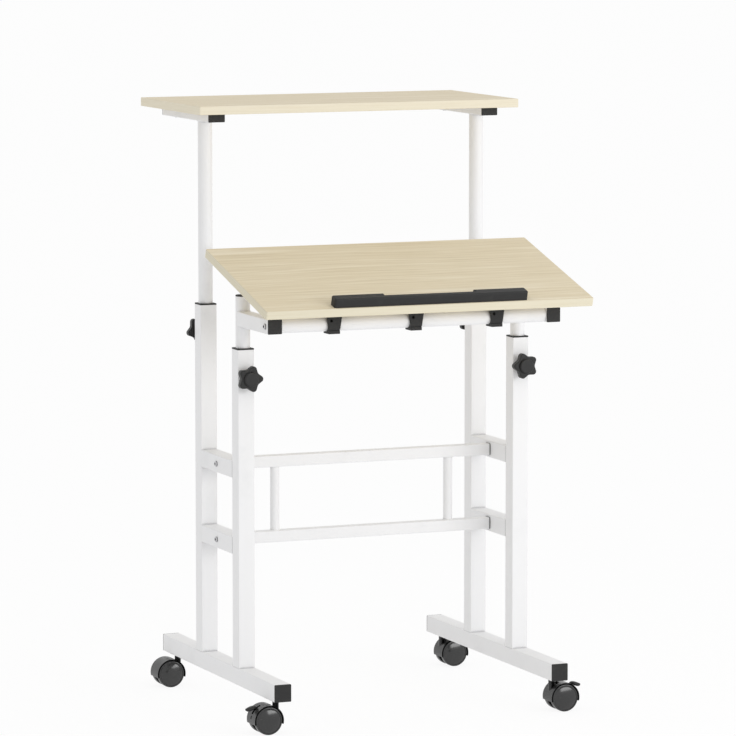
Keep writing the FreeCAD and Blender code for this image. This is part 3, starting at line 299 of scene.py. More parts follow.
class DeskSizes(bpy.types.PropertyGroup):
    """Sizes of the pieces that are added to the frame."""

    bead_leg: FloatProperty(
        name="Weld bead", description="Leg of the weld beads between square tubes", unit="LENGTH",
        min=0.0005, max=0.006, default=0.0024)
    fine_leg: FloatProperty(
        name="Fine weld bead", description="Leg of the weld beads around round tubes", unit="LENGTH",
        min=0.0005, max=0.006, default=0.0011)
    ripple_pitch: FloatProperty(
        name="Weld ripples", description="Distance between two ripples of a weld bead", unit="LENGTH",
        min=0.0005, max=0.01, default=0.0018)
    wheel_facets: IntProperty(
        name="Wheel facets", description="Facets around a caster wheel", min=24, max=256, default=96)
    wheel_dome: FloatProperty(
        name="Wheel dome", description="Height of a wheel's domed face", unit="LENGTH",
        min=0.0005, max=0.006, default=0.0035)
    wheel_edge: FloatProperty(
        name="Wheel edge", description="Rounding between a wheel's tread and its faces", unit="LENGTH",
        min=0.0003, max=0.003, default=0.0016)
    wheel_groove: FloatProperty(
        name="Wheel groove", description="Width of the groove around a wheel's dome", unit="LENGTH",
        min=0.0003, max=0.003, default=0.0011)
    axle_play: FloatProperty(
        name="Axle play", description="Gap around the axle in a wheel's bore", unit="LENGTH",
        min=0, max=0.0005, default=0.00005)
    axle_end_gap: FloatProperty(
        name="Axle end gap", description="Gap between the axle's end and the bore's floor", unit="LENGTH",
        min=0, max=0.002, default=0.0003)


class DeskStudio(bpy.types.PropertyGroup):
    """Light and floor of the studio."""

    floor_colour: FloatVectorProperty(
        name="Floor", description="Colour of the floor", subtype="COLOR",
        min=0, max=1, default=(1.0, 1.0, 1.0))
    floor_white: FloatProperty(
        name="Floor white", description="Share of plain white in the floor that the camera sees",
        subtype="FACTOR", min=0, max=1, default=0.9)
    ambient: FloatProperty(
        name="Ambient", description="Strength of the light from all around", min=0, max=2, default=0.8)
    key_power: FloatProperty(
        name="Key light", description="Power of the wide lamp at the front right", unit="POWER",
        min=0, max=500, default=30)


def powder_coat_finish(finishes):
    """Satin powder coat: fine orange peel, faint clouds, greyer edges, and painted shade in corners and narrow
    gaps.
    """
    material, paint = new_finish("white_powder_coat")
    where = paint.coordinate()
    soft = paint.rounded(0.0007)
    edges = paint.edges(soft, 9.0)
    peel = paint.noise(where, 1 / finishes.coat_grain, 2.0, 0.55)
    pores = paint.noise(where, 4 / finishes.coat_grain, 1.0)
    clouds = paint.noise(where, 11.0, 4.0, 0.6)
    handled = (clouds.ramp(0.52, 0.8) * 0.5 + edges * 0.35 + pores.ramp(0.62, 0.8) * 0.12)
    # Painted shade: an occlusion mask darkens corners and narrow gaps towards the corner grey.
    corners = paint.sunk(0.008).ramp(0.18, 0.72)
    shade = paint.mixed(handled, opaque(finishes.coat_colour), opaque(finishes.coat_shade))
    paint.fill("Principled BSDF", {
        "Base Color": paint.mixed(corners * 0.7, shade, opaque(finishes.painted_corner_shade)),
        "Roughness": 0.34 + clouds * 0.12 + peel * 0.06 - edges * 0.08,
        "Normal": paint.bump(peel + pores * 0.35, 0.00003, soft),
    })
    return material


def maple_finish(name, place, tilt, band_colour, finishes):
    """Pale maple laminate with swaying growth lines along X, and a plainer band around the edges.

    The three numbers that stretch a noise are its repeats per metre along the board, across it and
    through it.
    """
    material, wood = new_finish(name)
    local = wood.turned(wood.coordinate(), place, tilt)
    facing = wood.axes(wood.turned(wood.coordinate("Normal"), (0, 0, 0), tilt))[2]
    across, back = wood.axes(local)[:2]
    sway = wood.noise(wood.stretched(local, (1.5, 3.4, 0.0)), 1.0, 1.0) - 0.5
    depth = back + sway * 0.05
    grain = wood.node("ShaderNodeCombineXYZ", {}, {0: across, 1: depth})
    shake = wood.noise(wood.stretched(grain, (3.0, 60.0, 0.0)), 1.0, 2.0) - 0.5
    ring = (depth / finishes.ring_spacing + shake * 1.1).fraction()
    line = ring ** 4.0 * (1 - ring.ramp(0.93, 1.0))
    strong = wood.noise(wood.stretched(grain, (2.5, 22.0, 0.0)), 1.0, 1.0).ramp(0.4, 0.7)
    threads = wood.noise(wood.stretched(grain, (6.0, 190.0, 0.0)), 1.0, 3.0, 0.6)
    fibre = wood.noise(wood.stretched(grain, (14.0, 900.0, 0.0)), 1.0, 3.0, 0.65)
    pores = wood.noise(wood.stretched(grain, (90.0, 2400.0, 0.0)), 1.0, 1.0).ramp(0.66, 0.74)
    pale = wood.noise(wood.stretched(grain, (1.6, 34.0, 0.0)), 1.0, 2.0)
    light = threads.ramp(0.48, 0.7) * 0.5 + pale.ramp(0.52, 0.7) * 0.7
    face = wood.mixed(light, opaque(finishes.top_colour), opaque(finishes.pale_colour))
    dark = line * (0.1 + strong * 0.45) + (1 - threads.ramp(0.3, 0.5)) * 0.24
    dark = dark + fibre.ramp(0.45, 0.8) * 0.3 + pores * 0.2
    face = wood.mixed(dark, face, opaque(finishes.grain_colour))
    streaks = wood.noise(wood.stretched(local, (10.0, 10.0, 700.0)), 1.0, 3.0, 0.6)
    streaks = streaks.ramp(0.35, 0.8) * 0.22
    band = wood.mixed(streaks, opaque(band_colour), opaque(finishes.grain_colour))
    on_face = abs(facing).ramp(0.8, 0.97)
    seam = abs(abs(facing) - 0.93).ramp(0.0, 0.05)
    shade = wood.mixed(on_face, band, face)
    shade = wood.mixed((1 - seam) * 0.25, shade, opaque(finishes.grain_colour))
    soft = wood.node("ShaderNodeNewGeometry", {}, {}, "Normal")
    wood.fill("Principled BSDF", {
        "Base Color": shade,
        "Roughness": 0.42 + fibre * 0.12 - line * 0.04,
        "Normal": wood.bump(fibre * 0.5 - line * 0.4 - pores * 0.6, 0.00003, soft),
        "Specular IOR Level": 0.08,
    })
    return material


def plastic_finish(name, colour, worn, gloss, grain, specular=0.3, painted_rim_shade=0.0, polish=0.0):
    """Moulded black plastic: spark-eroded grain, faint flow clouds, handled edges, and painted shade that darkens
    recesses and gaps to near black.

    The rim share paints the narrow faces across Y near black, as painted shade on those rims.
    Polish is a film on all the other open faces.
    """
    material, mould = new_finish(name)
    where = mould.coordinate()
    soft = mould.rounded(0.0005)
    edges = mould.edges(soft, 7.0)
    erosion = mould.noise(where, 1 / grain, 3.0, 0.6)
    clouds = mould.noise(where, 60.0, 3.0, 0.6)
    rub = mould.noise(where, 260.0, 2.0, 0.6).ramp(0.35, 0.75)
    worn_share = edges * rub * 0.55 + clouds.ramp(0.5, 0.9) * 0.16 + erosion.ramp(0.55, 0.8) * 0.1
    # Painted shade: the rims across Y and the recesses and narrow gaps are darkened towards near black.
    rims = abs(mould.axes(mould.coordinate("Normal"))[1]).ramp(0.8, 0.97) * painted_rim_shade
    painted_recess_shade = mould.sunk(0.004).ramp(0.35, 0.8) * 0.85
    # Where the painted shade falls, the coat of polish is left off too.
    dull = painted_recess_shade.larger(rims)
    shade = mould.mixed(worn_share, opaque(colour), opaque(worn))
    mould.fill("Principled BSDF", {
        "Base Color": mould.mixed(dull, shade, PAINTED_SHADE_BLACK),
        "Roughness": gloss + clouds * 0.14 + erosion * 0.08 - edges * 0.06,
        "Normal": mould.bump(erosion, grain * 0.07, soft),
        "Specular IOR Level": specular,
    })
    if polish:
        mould.fill("Principled BSDF", {"Coat Weight": (1 - dull) * polish, "Coat Roughness": gloss})
    return material


def wheel_finish(finishes):
    """Smooth black nylon: glossy faces, a tread that is dulled and greyed by the floor, and painted shade in the
    recesses.
    """
    material, nylon = new_finish("caster_wheel_nylon")
    where = nylon.coordinate()
    soft = nylon.rounded(0.0004)
    dust = nylon.noise(where, 170.0, 4.0, 0.65)
    scratches = nylon.noise(nylon.stretched(where, (700.0, 90.0, 700.0)), 1.0, 2.0).ramp(0.6, 0.75)
    facing = abs(nylon.axes(nylon.coordinate("Normal"))[1])
    tread = 1 - facing.ramp(0.25, 0.6)
    grey = dust.ramp(0.4, 0.75) * (0.07 + tread * 0.5) + scratches * 0.08
    # Painted shade: an occlusion mask darkens recesses and narrow gaps towards near black.
    painted_recess_shade = nylon.sunk(0.003).ramp(0.35, 0.75)
    shade = nylon.mixed(grey, opaque(finishes.wheel_colour), opaque(finishes.worn_colour))
    nylon.fill("Principled BSDF", {
        "Base Color": nylon.mixed(painted_recess_shade * 0.85, shade, PAINTED_SHADE_BLACK),
        "Roughness": 0.2 + tread * 0.3 + dust * 0.06 + scratches * 0.08,
        "Normal": nylon.bump(dust + scratches * 0.4, 0.00001, soft),
        "Specular IOR Level": 0.05,
        "Coat Weight": (1 - painted_recess_shade) * (1 - tread * 0.4),
        "Coat Roughness": 0.16,
        "Coat IOR": 1.62,
    })
    return material


def zinc_finish(finishes):
    """Bright zinc on steel, with fine turning marks, dull spots, and painted shade in the sockets and other
    recesses.
    """
    material, zinc = new_finish("zinc_plated_steel")
    where = zinc.coordinate()
    soft = zinc.rounded(0.0003)
    spangle = zinc.noise(where, 420.0, 3.0, 0.6)
    marks = zinc.noise(zinc.stretched(where, (400.0, 3200.0, 3200.0)), 1.0, 2.0)
    dull = spangle.ramp(0.5, 0.8)
    # Painted shade: an occlusion mask darkens the sockets and other recesses towards near black.
    painted_zinc_shade_share = zinc.sunk(0.004).ramp(0.2, 0.5)
    bright = zinc.mixed(dull * 0.4, opaque(finishes.zinc_colour), DULL_ZINC)
    zinc.fill("Principled BSDF", {
        "Base Color": zinc.mixed(painted_zinc_shade_share, bright, PAINTED_ZINC_SHADE),
        "Metallic": 1.0,
        "Roughness": 0.22 + dull * 0.2 + marks * 0.12,
        "Normal": zinc.bump(marks, 0.00001, soft),
    })
    return material


def black_oxide_finish(finishes):
    """Blackened steel with an oily sheen and rubbed spots."""
    material, oxide = new_finish("black_oxide_steel")
    where = oxide.coordinate()
    soft = oxide.rounded(0.0002)
    bloom = oxide.noise(where, 900.0, 3.0, 0.6)
    rubbed = oxide.edges(soft, 6.0) * bloom.ramp(0.4, 0.7)
    oxide.fill("Principled BSDF", {
        "Base Color": oxide.mixed(rubbed * 0.4, OXIDE_BLACK, opaque(finishes.worn_colour)),
        "Metallic": 1.0,
        "Roughness": 0.34 + bloom * 0.2,
        "Normal": oxide.bump(bloom, 0.00001, soft),
    })
    return material


def add_piece(name, shape, material, body):
    """Turn a bmesh into a piece that rides on a body."""
    bmesh.ops.recalc_face_normals(shape, faces=shape.faces)
    mesh = bpy.data.meshes.new(name)
    shape.to_mesh(mesh)
    shape.free()
    mesh.materials.append(material)
    mesh.shade_smooth()
    mesh.set_sharp_from_angle(angle=SHARP_ANGLE)
    piece = bpy.data.objects.new(name, mesh)
    bpy.context.scene.collection.objects.link(piece)
    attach(piece, body)
    return piece


def skin(shape, rings, closed):
    """Faces between neighbouring rings of vertices, with end faces where their path is open."""
    following = rings[1:] + rings[:1] if closed else rings[1:]
    for ring, after in zip(rings, following):
        for index in range(len(ring)):
            beside = (index + 1) % len(ring)
            shape.faces.new((ring[index], ring[beside], after[beside], after[index]))
    if not closed:
        shape.faces.new(rings[0])
        shape.faces.new(tuple(reversed(rings[-1])))


class WeldBead:
    """A rippled fillet weld along a path in the corner between two surfaces."""

    SECTION = 7
    SINK = 0.0003
    RIPPLE_SHARE = 0.1
    STEPS_PER_RIPPLE = 6
    LEAST_STEPS = 12
    END_POWER = 8
    END_THINNING = 0.06

    def __init__(self, shape, sizes, leg):
        self.shape = shape
        self.pitch = sizes.ripple_pitch
        self.leg = leg

    def section(self, corner, first, second, travel, swell):
        """One ring of vertices across the bead."""
        ripple = 1 + self.RIPPLE_SHARE * math.sin(math.tau * travel / self.pitch)
        leg = self.leg * ripple * swell
        points = [corner - (first + second) * self.SINK]
        for step in range(self.SECTION):
            turn = math.pi / 2 * step / (self.SECTION - 1)
            points.append(corner + first * leg * math.cos(turn) + second * leg * math.sin(turn))
        return [self.shape.verts.new(point) for point in points]

    def straight(self, start, end, first, second):
        """A bead along a straight corner."""
        length = (end - start).length
        steps = max(self.LEAST_STEPS, round(length / self.pitch * self.STEPS_PER_RIPPLE))
        rings = []
        for step in range(steps + 1):
            share = step / steps
            swell = math.sqrt(max(self.END_THINNING, 1 - (2 * share - 1) ** self.END_POWER))
            rings.append(self.section(start.lerp(end, share), first, second, share * length, swell))
        skin(self.shape, rings, False)

    def round(self, centre, radius, axis, start=0.0, sweep=math.tau):
        """A bead around a tube that stands on a surface; the axis points away from that surface."""
        closed = sweep >= math.tau
        steps = max(self.LEAST_STEPS, round(radius * sweep / self.pitch * self.STEPS_PER_RIPPLE))
        rings = []
        for step in range(steps if closed else steps + 1):
            turn = start + sweep * step / steps
            outward = Vector((math.cos(turn), math.sin(turn), 0))
            rings.append(self.section(centre + outward * radius, outward, axis, radius * (turn - start), 1.0))
        skin(self.shape, rings, closed)


def quarter_round(along, reach, radius, start, end):
    """Points of an arc between two angles, around a place along the axis and away from it."""
    turns = [start + (end - start) * step / ARC_STEPS for step in range(ARC_STEPS + 1)]
    return [(along + radius * math.cos(turn), reach + radius * math.sin(turn)) for turn in turns]


def add_turned(shape, profile, centre, outward, facets):
    """Add a closed solid: a profile that starts and ends on an axis along Y, turned about it."""
    rings = []
    for along, reach in profile:
        count = facets if reach else 1
        rings.append([shape.verts.new(centre + Vector((
            reach * math.cos(math.tau * step / facets), along * outward,
            reach * math.sin(math.tau * step / facets)))) for step in range(count)])
    for ring, after in zip(rings, rings[1:]):
        for step in range(facets):
            beside = (step + 1) % facets
            corners = (ring[step % len(ring)], ring[beside % len(ring)],
                       after[beside % len(after)], after[step % len(after)])
            shape.faces.new(dict.fromkeys(corners))


def eased(rows, steps):
    """Rows of numbers on a smooth curve through the given rows."""
    padded = [rows[0], *rows, rows[-1]]
    dense = []
    for four in zip(padded, padded[1:], padded[2:], padded[3:]):
        for step in range(steps):
            share = step / steps
            dense.append(tuple(
                start + share * (end - before + share * (
                    2 * before - 5 * start + 4 * end - after + share * (
                        3 * start - 3 * end + after - before))) / 2
                for before, start, end, after in zip(*four)))
    return dense + [rows[-1]]


class DESK_OT_paint_tubes(bpy.types.Operator):
    """Paint every steel tube with white powder coat"""

    bl_idname = "desk.paint_tubes"
    bl_label = "Paint tubes"

    def execute(self, context):
        coat(nodes_of("white_powder_coat"), powder_coat_finish(context.scene.desk_finishes))
        return {"FINISHED"}


class DESK_OT_face_boards(bpy.types.Operator):
    """Face the desktop and the shelf with pale maple"""

    bl_idname = "desk.face_boards"
    bl_label = "Face boards"

    def execute(self, context):
        finishes = context.scene.desk_finishes
        pivot = JOINTS["desktop_tilt"]["pos_m"]
        lean = math.radians(RESTING_TILT)
        desktop = maple_finish("desktop_maple", pivot, lean, finishes.desktop_band, finishes)
        shelf = maple_finish("shelf_maple", middle("shelf_board"), 0.0, finishes.shelf_band, finishes)
        coat(["desktop_board"], desktop)
        coat(["shelf_board"], shelf)
        return {"FINISHED"}


class DESK_OT_mould_plastic(bpy.types.Operator):
    """Give the caps, bushings, clips, stop bar, knobs, hoods and levers their black plastic"""

    bl_idname = "desk.mould_plastic"
    bl_label = "Mould plastic"

    def execute(self, context):
        finishes = context.scene.desk_finishes
        colour, worn = finishes.plastic_colour, finishes.worn_colour
        cap = plastic_finish("cap_plastic", colour, worn, 0.46, 0.0007)
        handled = plastic_finish("handled_plastic", colour, worn, 0.34, 0.0009)
        # The hood's rims get the full painted rim shade.
        hood = plastic_finish("hood_plastic", colour, worn, 0.26, 0.0008, 0.06, 1.0, 0.6)
        for node in nodes_of("black_plastic"):
            coat([node], hood if "hood" in node else handled if "knob" in node or "lever" in node else cap)
        return {"FINISHED"}


class DESK_OT_turn_wheels(bpy.types.Operator):
    """Turn the eight caster wheels: crowned treads, grooved rims, domed faces and hollowed backs"""

    bl_idname = "desk.turn_wheels"
    bl_label = "Turn wheels"

    HUB_WALL = 0.0035
    RIM_WALL = 0.0045
    WELL_DEPTH = 0.003
    WELL_FLARE = 0.0012
    TREAD_CROWN = 0.00012
    TREAD_SHARES = (0.3, 0.5, 0.7)
    # Shares of the groove's width: out from the rim's face, and in from its outer edge.
    GROOVE = ((0.15, 0.0), (-0.3, 0.25), (-0.3, 0.75))
    DOME_STEPS = 12

    def execute(self, context):
        sizes = context.scene.desk_sizes
        nylon = wheel_finish(context.scene.desk_finishes)
        for side in SIDES:
            for end in ENDS:
                caster = "%s_%s_caster" % (end, side)
                for wheel in WHEELS:
                    node = "%s_%s_wheel" % (caster, wheel)
                    shape = self.wheel(node, caster + "_axle", sizes)
                    piece = add_piece(node + "_turned", shape, nylon, node + "_body")
                    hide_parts(node)
        return {"FINISHED"}

    def wheel(self, node, axle, sizes):
        """A wheel in the room of its CAD node."""
        low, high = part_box(node)
        pin_low, pin_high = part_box(axle)
        outward = -1 if node.endswith("fore_wheel") else 1
        back, front = (high.y, low.y) if outward < 0 else (low.y, high.y)
        pin_end = pin_low.y if outward < 0 else pin_high.y
        radius = (high.z - low.z) / 2
        bore = (pin_high.z - pin_low.z) / 2 + sizes.axle_play
        floor = abs(pin_end - back) + sizes.axle_end_gap
        profile = self.profile(radius, abs(front - back), bore, floor, sizes)
        centre = Vector(((low.x + high.x) / 2, back, (low.z + high.z) / 2))
        shape = bmesh.new()
        add_turned(shape, profile, centre, outward, sizes.wheel_facets)
        return shape

    def profile(self, radius, depth, bore, floor, sizes):
        """Places from a wheel's back and from its axis, from the bore's floor round to the dome's top."""
        rise, edge, groove = sizes.wheel_dome, sizes.wheel_edge, sizes.wheel_groove
        rim = depth - rise
        hub, well = bore + self.HUB_WALL, radius - self.RIM_WALL
        points = [(floor, 0.0), (floor, bore), (0.0, bore), (0.0, hub),
                  (self.WELL_DEPTH, hub + self.WELL_FLARE), (self.WELL_DEPTH, well),
                  (0.0, well + self.WELL_FLARE), (0.0, radius - edge)]
        points += quarter_round(edge, radius - edge, edge, math.pi, math.pi / 2)
        for share in self.TREAD_SHARES:
            points.append((rim * share, radius - self.TREAD_CROWN * (2 * share - 1) ** 2))
        points += quarter_round(rim - edge, radius - edge, edge, math.pi / 2, 0.0)
        land = radius - edge - groove
        points += [(rim + groove * out, land - groove * inward) for out, inward in self.GROOVE]
        dome = land - groove
        ball = (dome ** 2 + rise ** 2) / (2 * rise)
        for step in range(self.DOME_STEPS + 1):
            reach = dome * (1 - step / self.DOME_STEPS)
            points.append((depth - ball + math.sqrt(ball ** 2 - reach ** 2), reach))
        return points


class DESK_OT_mould_levers(bpy.types.Operator):
    """Mould the two brake levers: a neck on trunnions that swells into a leaf-shaped foot paddle"""

    bl_idname = "desk.mould_levers"
    bl_label = "Mould levers"

    # Millimetres from the pivot: outwards, upwards, half the width and half the thickness.
    SPINE = ((-1.0, -1.5, 2.0, 2.0), (0.2, 0.5, 2.6, 2.6), (1.6, 3.0, 2.6, 2.3), (3.2, 5.6, 2.6, 2.0),
             (5.2, 7.3, 3.6, 1.9), (8.0, 7.6, 5.7, 2.5), (11.5, 6.5, 6.5, 3.3), (15.5, 5.0, 6.5, 3.5),
             (19.0, 4.0, 5.8, 3.1), (21.6, 4.2, 4.2, 2.2), (22.9, 4.4, 2.4, 1.2))
    # Millimetres along the pivot's axis and away from it.
    TRUNNIONS = ((-3.8, 0.0), (-3.8, 1.4), (-2.6, 1.4), (-2.6, 3.3),
                 (2.6, 3.3), (2.6, 1.4), (3.8, 1.4), (3.8, 0.0))
    SUBDIVISIONS = 6
    FACETS = 28
    SQUARENESS = 0.82

    def execute(self, context):
        plastic = bpy.data.materials["handled_plastic"]
        for side, heading in zip(SIDES, (-1, 1)):
            node = "front_%s_caster_brake_lever" % side
            pivot = Vector(JOINTS[node + "_press"]["pos_m"])
            shape = bmesh.new()
            self.add_tongue(shape, pivot, heading)
            pins = [(along * MILLIMETRE, reach * MILLIMETRE) for along, reach in self.TRUNNIONS]
            add_turned(shape, pins, pivot, 1, self.FACETS)
            piece = add_piece(node + "_moulded", shape, plastic, node + "_body")
            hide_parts(node)
        return {"FINISHED"}

    def add_tongue(self, shape, pivot, heading):
        """Neck and paddle: soft oblong sections along the lever's spine."""
        rows = eased(self.SPINE, self.SUBDIVISIONS)
        rings = []
        for before, row, after in zip([rows[0], *rows], rows, [*rows[1:], rows[-1]]):
            along = Vector((after[0] - before[0], 0, after[1] - before[1])).normalized()
            lift = Vector((-along.z, 0, along.x))
            ring = []
            out, rise, width, thickness = row
            for step in range(self.FACETS):
                turn = math.tau * step / self.FACETS
                place = Vector((out, 0, rise)) + TO_REAR * width * self.softened(math.cos(turn))
                place += lift * thickness * self.softened(math.sin(turn))
                place.x *= heading
                ring.append(shape.verts.new(pivot + place * MILLIMETRE))
            rings.append(ring)
        skin(shape, rings, False)

    def softened(self, share):
        """A share of a circle's radius, moved towards a square's."""
        return math.copysign(abs(share) ** self.SQUARENESS, share)


class DESK_OT_plate_screws(bpy.types.Operator):
    """Plate screws, nuts, stems and axles with zinc"""

    bl_idname = "desk.plate_screws"
    bl_label = "Plate screws"

    def execute(self, context):
        coat(nodes_of("zinc_steel"), zinc_finish(context.scene.desk_finishes))
        coat(["tilt_grub_screws"], black_oxide_finish(context.scene.desk_finishes))
        return {"FINISHED"}


class DESK_OT_lay_welds(bpy.types.Operator):
    """Lay the painted weld beads of the base, the desk arms and the shelf bearers"""

    bl_idname = "desk.lay_welds"
    bl_label = "Lay welds"

    ARM_HALF_SWEEP = math.radians(68)
    LEAST_RAIL_STEP = 0.05

    def execute(self, context):
        sizes = context.scene.desk_sizes
        paint = bpy.data.materials["white_powder_coat"]
        self.post_welds(sizes, paint)
        self.rail_welds(sizes, paint)
        self.spindle_welds(sizes, paint)
        self.arm_welds(sizes, paint)
        self.bearer_welds(sizes, paint)
        return {"FINISHED"}

    def post_welds(self, sizes, paint):
        """Beads behind the posts, on top of the foot tubes."""
        shape = bmesh.new()
        bead = WeldBead(shape, sizes, sizes.bead_leg)
        for side in SIDES:
            for end in ENDS:
                low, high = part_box("%s_%s_post" % (side, end))
                inset = ACROSS * sizes.bead_leg
                start = Vector((low.x, high.y, low.z)) + inset
                finish = Vector((high.x, high.y, low.z)) - inset
                bead.straight(start, finish, TO_REAR, UP)
        add_piece("post_welds", shape, paint, "base")

    def rail_welds(self, sizes, paint):
        """Beads under the ends of the side rails, on the posts."""
        shape = bmesh.new()
        bead = WeldBead(shape, sizes, sizes.bead_leg)
        for side in SIDES:
            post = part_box("%s_front_post" % side)
            for underside in self.rail_undersides():
                for end in ENDS:
                    into = TO_REAR if end == "front" else -TO_REAR
                    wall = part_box("%s_%s_post" % (side, end))[1 if end == "front" else 0].y
                    start = Vector((post[0].x + sizes.bead_leg, wall, underside))
                    finish = Vector((post[1].x - sizes.bead_leg, wall, underside))
                    bead.straight(start, finish, into, -UP)
        add_piece("rail_welds", shape, paint, "base")

    def rail_undersides(self):
        """Heights of the undersides of the two levels of side rails."""
        rails = frame["nodes"]["side_rails"].data
        heights = sorted({round(vertex.co.z, 4) for vertex in rails.vertices})
        upper = [height for height in heights if height > heights[0] + self.LEAST_RAIL_STEP]
        return heights[0], upper[0]

    def spindle_welds(self, sizes, paint):
        """Rings at both ends of the spindles."""
        shape = bmesh.new()
        bead = WeldBead(shape, sizes, sizes.fine_leg)
        low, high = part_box("cross_rail_spindles")
        radius = (high.y - low.y) / 2
        for x in (low.x + radius, high.x - radius):
            bead.round(Vector((x, (low.y + high.y) / 2, low.z)), radius, UP)
            bead.round(Vector((x, (low.y + high.y) / 2, high.z)), radius, -UP)
        add_piece("spindle_welds", shape, paint, "base")

    def arm_welds(self, sizes, paint):
        """Arcs on top of the desk arms, around the height tubes."""
        shape = bmesh.new()
        bead = WeldBead(shape, sizes, sizes.fine_leg)
        half = self.ARM_HALF_SWEEP
        for side in SIDES:
            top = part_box("%s_desk_arm" % side)[1].z
            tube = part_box("%s_desk_tube" % side)
            radius = (tube[1].x - tube[0].x) / 2
            centre = (tube[0] + tube[1]) / 2
            bead.round(Vector((centre.x, centre.y, top)), radius, UP, -math.pi / 2 - half, 2 * half)
        add_piece("arm_welds", shape, paint, "desk_carriage")

    def bearer_welds(self, sizes, paint):
        """Rings where the shelf tubes meet the bearers."""
        shape = bmesh.new()
        bead = WeldBead(shape, sizes, sizes.fine_leg)
        for side in SIDES:
            low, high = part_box("%s_shelf_tube" % side)
            centre = (low + high) / 2
            bead.round(Vector((centre.x, centre.y, high.z)), (high.x - low.x) / 2, -UP)
        add_piece("bearer_welds", shape, paint, "shelf_carriage")


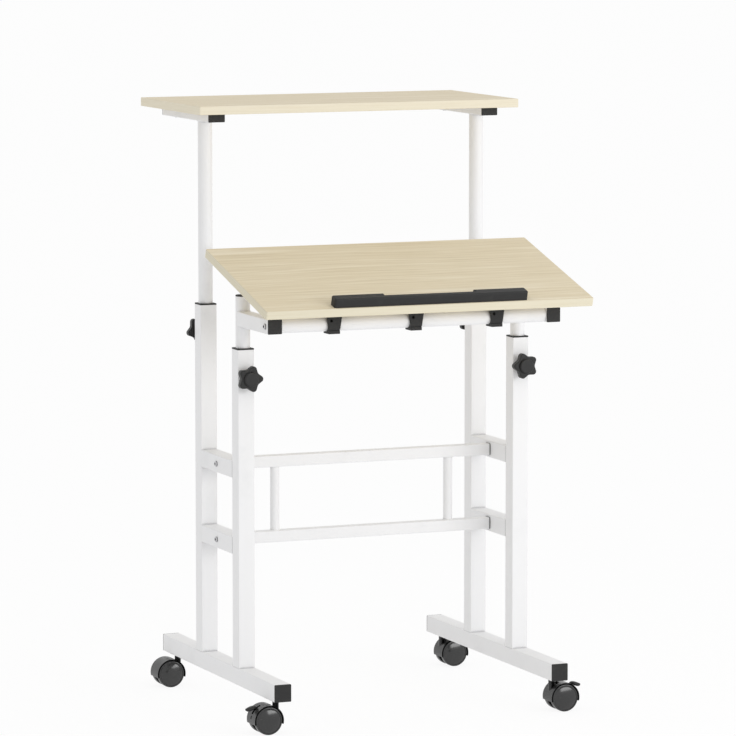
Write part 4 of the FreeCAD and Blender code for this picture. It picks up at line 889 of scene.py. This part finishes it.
class DESK_OT_set_studio(bpy.types.Operator):
    """Set the floor, the white surround, the lamp and the camera"""

    bl_idname = "desk.set_studio"
    bl_label = "Set studio"

    FLOOR_RADIUS = 70
    FLOOR_FACETS = 64
    KEY_PLACE = Vector((1.65, -2.9, 1.25))
    KEY_SIZE = (2.4, 1.0)
    FAR_END = 200
    AIM = Vector((0, 0, 0.596))
    DISTANCE = 8.156
    AZIMUTH = math.radians(-22.59)
    ELEVATION = math.radians(6.63)
    SIDE_STEP = 0.0108
    RISE = -0.0115
    LENS = 228.4

    def execute(self, context):
        studio = context.scene.desk_studio
        context.scene.view_settings.view_transform = "Standard"
        self.set_floor(context, studio)
        self.set_surround(context, studio)
        self.set_lamp(context, studio)
        self.set_camera(context)
        return {"FINISHED"}

    def seen_directly(self, shader):
        """1 for rays from the camera and for rays that a surface mirrors or lets through."""
        path = shader.node("ShaderNodeLightPath", {}, {}).socket.node
        seen = Wire(shader, path.outputs["Is Camera Ray"])
        for output in ("Is Glossy Ray", "Is Transmission Ray"):
            seen = seen.larger(Wire(shader, path.outputs[output]))
        return seen

    def set_floor(self, context, studio):
        """A pale floor that keeps the desk's shadow and is white to the camera."""
        shape = bmesh.new()
        bmesh.ops.create_circle(shape, cap_ends=True, segments=self.FLOOR_FACETS, radius=self.FLOOR_RADIUS)
        mesh = bpy.data.meshes.new("studio_floor")
        shape.to_mesh(mesh)
        shape.free()
        material, shader = new_finish("studio_floor")
        shader.fill("Principled BSDF", {"Base Color": opaque(studio.floor_colour), "Roughness": 0.9,
                                        "Specular IOR Level": 0.0})
        plain = Wire(shader, shader.tree.nodes["Principled BSDF"].outputs[0])
        white = shader.node("ShaderNodeEmission", {}, {"Strength": 1.0})
        seen = self.seen_directly(shader) * studio.floor_white
        surface = shader.node("ShaderNodeMixShader", {}, {0: seen, 1: plain, 2: white})
        shader.fill("Material Output", {"Surface": surface})
        mesh.materials.append(material)
        floor = bpy.data.objects.new("studio_floor", mesh)
        context.scene.collection.objects.link(floor)

    def set_surround(self, context, studio):
        """Even light from all around, white where it is seen directly."""
        world = bpy.data.worlds.new("studio_surround")
        world.use_nodes = True
        context.scene.world = world
        shader = Shader(world.node_tree)
        seen = self.seen_directly(shader)
        shader.fill("Background", {"Color": (1, 1, 1, 1),
                                   "Strength": studio.ambient + seen * (1 - studio.ambient)})

    def set_lamp(self, context, studio):
        """A wide flat lamp at the front right, which faces the desk."""
        lamp = bpy.data.lights.new("key_lamp", "AREA")
        lamp.shape = "RECTANGLE"
        lamp.size, lamp.size_y = self.KEY_SIZE
        lamp.energy = studio.key_power
        holder = bpy.data.objects.new("key_lamp", lamp)
        holder.location = self.KEY_PLACE
        holder.visible_camera = False
        holder.rotation_euler = (self.AIM - self.KEY_PLACE).to_track_quat("-Z", "Y").to_euler()
        context.scene.collection.objects.link(holder)

    def set_camera(self, context):
        """A long lens at the photograph's viewing angle."""
        side, slope = self.AZIMUTH, self.ELEVATION
        right = Vector((math.cos(side), math.sin(side), 0))
        back = Vector((math.sin(side) * math.cos(slope), -math.cos(side) * math.cos(slope), math.sin(slope)))
        up = back.cross(right)
        lens = bpy.data.cameras.new("camera")
        lens.sensor_fit = "HORIZONTAL"
        lens.lens = self.LENS
        lens.clip_end = self.FAR_END
        camera = bpy.data.objects.new("camera", lens)
        place = self.AIM + back * self.DISTANCE + right * self.SIDE_STEP + up * self.RISE
        camera.matrix_world = Matrix.Translation(place) @ Matrix((right, up, back)).transposed().to_4x4()
        context.scene.collection.objects.link(camera)
        context.scene.camera = camera


STEPS = (DESK_OT_paint_tubes, DESK_OT_face_boards, DESK_OT_mould_plastic, DESK_OT_turn_wheels,
         DESK_OT_mould_levers, DESK_OT_plate_screws, DESK_OT_lay_welds, DESK_OT_set_studio)


class DESK_PT_builder(bpy.types.Panel):
    """Steps that dress the desk, with the sizes and colours they use"""

    bl_idname = "DESK_PT_builder"
    bl_label = "Sit-stand desk"
    bl_space_type = "VIEW_3D"
    bl_region_type = "UI"
    bl_category = "Desk"

    def draw(self, context):
        for step in STEPS:
            self.layout.operator(step.bl_idname)
        for settings in (context.scene.desk_finishes, context.scene.desk_sizes, context.scene.desk_studio):
            column = self.layout.column()
            for name in settings.__annotations__:
                column.prop(settings, name)


CLASSES = (DeskFinishes, DeskSizes, DeskStudio, *STEPS, DESK_PT_builder)


def register():
    """Register the classes and hang their settings on the scene."""
    for item in CLASSES:
        bpy.utils.register_class(item)
    bpy.types.Scene.desk_finishes = PointerProperty(type=DeskFinishes)
    bpy.types.Scene.desk_sizes = PointerProperty(type=DeskSizes)
    bpy.types.Scene.desk_studio = PointerProperty(type=DeskStudio)


def unregister():
    """Take the settings off the scene and unregister the classes."""
    del bpy.types.Scene.desk_studio
    del bpy.types.Scene.desk_sizes
    del bpy.types.Scene.desk_finishes
    for item in reversed(CLASSES):
        bpy.utils.unregister_class(item)


def main():
    """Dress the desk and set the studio."""
    register()
    bpy.ops.desk.paint_tubes()
    bpy.ops.desk.face_boards()
    bpy.ops.desk.mould_plastic()
    bpy.ops.desk.turn_wheels()
    bpy.ops.desk.mould_levers()
    bpy.ops.desk.plate_screws()
    bpy.ops.desk.lay_welds()
    bpy.ops.desk.set_studio()


if __name__ == "__main__":
    main()
